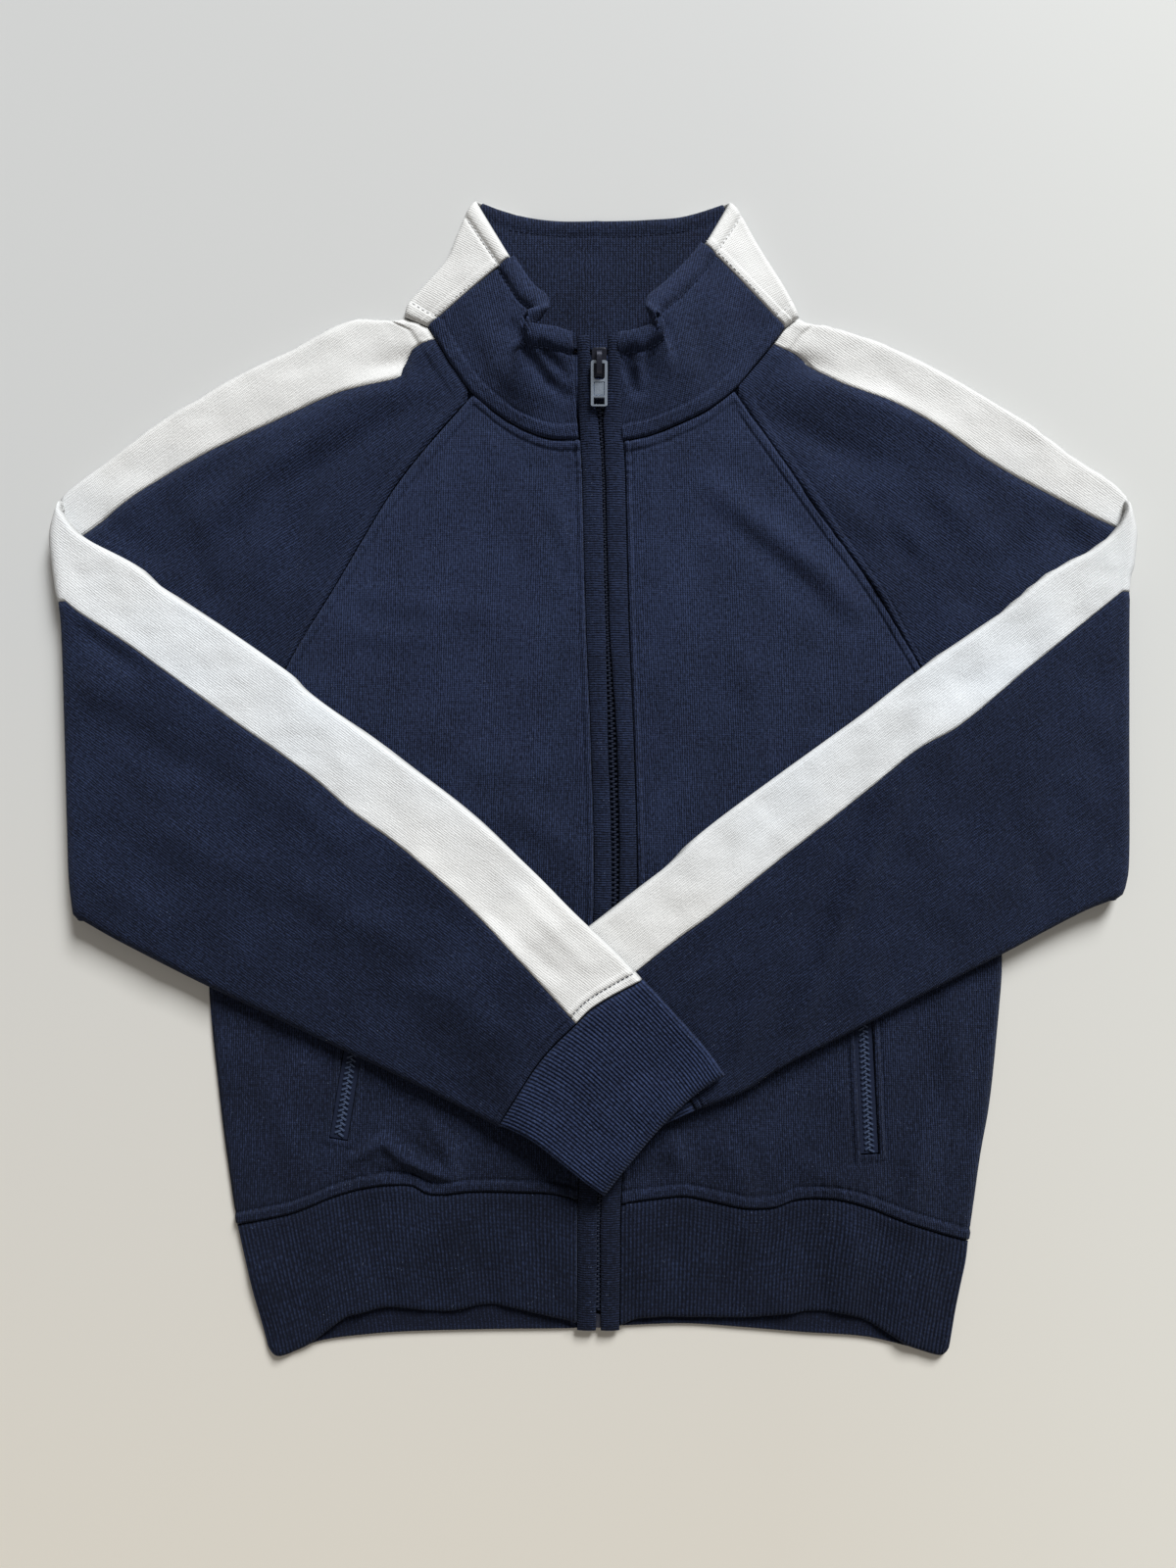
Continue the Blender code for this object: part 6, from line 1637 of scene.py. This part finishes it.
def bodyStitches():
    bm = bmesh.new()
    for side, sign, arm in (("right", -1, armRight), ("left", 1, armLeft)):
        raglan = spline(arm["raglan"], 200)[:-8]
        onBody, onSleeve = (offsetLine(raglan, stitches["raglan"] * way) for way in (-sign, sign))
        stitchRun(bm, [Vector((q.x, q.y, bodyTop(*q) + 0.3)) for q in onBody])
        stitchRun(bm, [Vector((q.x, q.y, sleeveTopAt(arm, q) + 0.35)) for q in onSleeve])
        hemSeam, above = spline(bodyShape[side + "HemSeam"], 200), stitches["hem"]
        stitchRun(bm, [Vector((q.x, q.y + above, bodyTop(q.x, q.y + above) + 0.55)) for q in hemSeam])
        edge = []
        for k in range(200):
            y = 178.0 - k * 2.0
            x = zipAt(y).x + sign * (bodyShape["panelStart"] + stitches["zip"])
            edge.append(Vector((x, y, bodyTop(x, y) + 0.25)))
        stitchRun(bm, edge)
        (x0, y0), (x1, y1) = bodyShape["pocket" + side.title()]
        a, b = Vector((x0, y0)), Vector((x1, y1))
        along = (b - a).normalized()
        off = Vector((along.y, -along.x))
        outside = stitches["pocket"]
        reach = bodyShape["slotHalf"] + outside
        ring = [a - along * outside - off * reach, b + along * outside - off * reach,
                b + along * outside + off * reach, a - along * outside + off * reach]
        for p, q in zip(ring, ring[1:]):
            steps = [p.lerp(q, k / 40) for k in range(41)]
            stitchRun(bm, [Vector((s.x, s.y, frontTop(s.x, s.y, (a, b)) + 0.05)) for s in steps],
                      length=1.8)
    finish(bm, "bodyStitches", threadNavy, "navy_knit", [], smoothAngle=180)


def collarStitches():
    navy, pale = bmesh.new(), bmesh.new()
    for collar in (collarRight, collarLeft):
        surface, frameAt = collar["surface"], collar["frameAt"]

        def line(fromEdge, edge, lift):
            points = []
            for k in range(161):
                f = 0.01 + 0.98 * k / 160
                length = (surface(f, 1.0) - surface(f, 0.0)).length
                t = 1 - fromEdge / length if edge == "top" else fromEdge / length
                normal, up = frameAt(f, t)
                points.append(surface(f, t) + normal * lift)
            return points
        stitchRun(navy, line(collarShape["stitchDown"], "top", -0.2))
        stitchRun(navy, line(collarShape["bandWidth"] - 1.0, "foot", 0.65))
    inside = spline([(-46.0, 293.8), (-20.0, 290.6), (4.0, 290.0), (28.7, 290.8), (52.0, 293.6)], 60)
    stitchRun(navy, [Vector((p.x, p.y, 2.75)) for p in inside])
    for collar in (collarRight, collarLeft):
        fold, seamLine = spline(collar["fold"], 60), collar["seamLine"]
        long = collarShape["stripeDeep"]
        for v in (collarShape["bandWidth"] / long, 1 - collarShape["stitchDown"] / long):
            edge, far = at(fold, v), seamLine(v)
            points = []
            for k in range(4, 41):
                inset = k / 40
                p = edge.lerp(Vector((far.x, far.y)), inset)
                top = 2 * collarShape["middle"] + (far.z - 2 * collarShape["middle"]) * smooth(inset)
                points.append(Vector((p.x, p.y, top + (0.35 if v < 0.5 else -0.25))))
            stitchRun(pale, points)
        points = []
        for k in range(4, 61):  # from just above the foot of the collar
            v = k / 60
            far, edge = seamLine(v), at(fold, v)
            inward = (Vector((far.x, far.y)) - edge).normalized() * -stitches["collarSeam"]
            points.append(Vector((far.x + inward.x, far.y + inward.y, far.z + 0.3)))
        stitchRun(pale, points)
    for arm in (armRight, armLeft):
        t = 1 - sewing["stitchAt"] / arm["run"]["forearm"]
        white = stripeShares(arm, "forearm", t)[1]
        for low, high in ((0.012, white - 0.01), (white + 0.01, 0.987)) if arm["over"] else ((0.66, 0.987),):
            stitchRun(navy, [armPoint(arm, "forearm", t, -(low + (high - low) * k / 100), 0.0, -0.2)
                             for k in range(101)], gap=0.5)
    finish(pale, "whiteStitches", threadWhite, "white_knit", [], smoothAngle=180)
    finish(navy, "collarStitches", threadNavy, "navy_knit", [], smoothAngle=180)


bodyStitches()
collarStitches()
print("stitches made")


# table, light and camera

room = {
    "table": 6.0, "tableTop": (0.60, 0.60, 0.59), "tableFootLit": (0.69, 0.645, 0.565),
    "tableRightLit": (0.80, 0.80, 0.75), "footFade": (-0.42, 0.1), "rightFade": (0.1, 0.42), "rightMost": 0.45,
    "window": {"place": (3.3, 7.9, 5.2), "size": 3.4, "power": 1650.0, "colour": (0.955, 0.98, 1.0)},
    "lamp": {"place": (-0.5, -1.9, 1.9), "size": 1.5, "power": 7.0, "colour": (1.0, 0.93, 0.84)},
    "sky": (1.0, 0.97, 0.925), "skyPower": 0.18,
}

bm = bmesh.new()
bmesh.ops.create_grid(bm, x_segments=8, y_segments=8, size=room["table"] / 2)
mesh = bpy.data.meshes.new("table")
bm.to_mesh(mesh)
bm.free()
tableLook, tree, shader = principled("tableTop", 0.6)
axes = placeOf(tree)[1]
# painted light: the floor is painted lighter and warmer towards the bottom and lighter towards the right, for
# how the window's light spreads over it
tone = mixColour(tree, rangeOf(tree, axes[1], *room["footFade"]), room["tableFootLit"], room["tableTop"])
rightLight = rangeOf(tree, axes[0], *room["rightFade"], 0.0, room["rightMost"])
tone = mixColour(tree, rightLight, tone, room["tableRightLit"])
tree.links.new(tone, shader.inputs["Base Color"])
shader.inputs["Specular IOR Level"].default_value = 0.25
mesh.materials.append(tableLook)
table = bpy.data.objects.new("table", mesh)
bpy.context.scene.collection.objects.link(table)

for name in ("window", "lamp"):
    given = room[name]
    light = bpy.data.lights.new(name, "AREA")
    light.shape, light.size = "SQUARE", given["size"]
    light.energy, light.color = given["power"], given["colour"]
    holder = bpy.data.objects.new(name, light)
    holder.location = given["place"]
    holder.rotation_euler = (-Vector(given["place"])).to_track_quat("-Z", "Y").to_euler()
    bpy.context.scene.collection.objects.link(holder)
world = bpy.data.worlds.new("room")
world.use_nodes = True
world.node_tree.nodes["Background"].inputs["Color"].default_value = (*room["sky"], 1.0)
world.node_tree.nodes["Background"].inputs["Strength"].default_value = room["skyPower"]
bpy.context.scene.world = world
bpy.context.scene.view_settings.view_transform = "Standard"

eye = bpy.data.cameras.new("camera")
eye.lens = camera["lens"]
eye.sensor_width = 36.0
eye.clip_start = 0.01
holder = bpy.data.objects.new("camera", eye)
holder.location = (Vector((camera["x"], camera["y"], camera["height"])) - middle) * mm
bpy.context.scene.collection.objects.link(holder)
bpy.context.scene.camera = holder
print("room made")
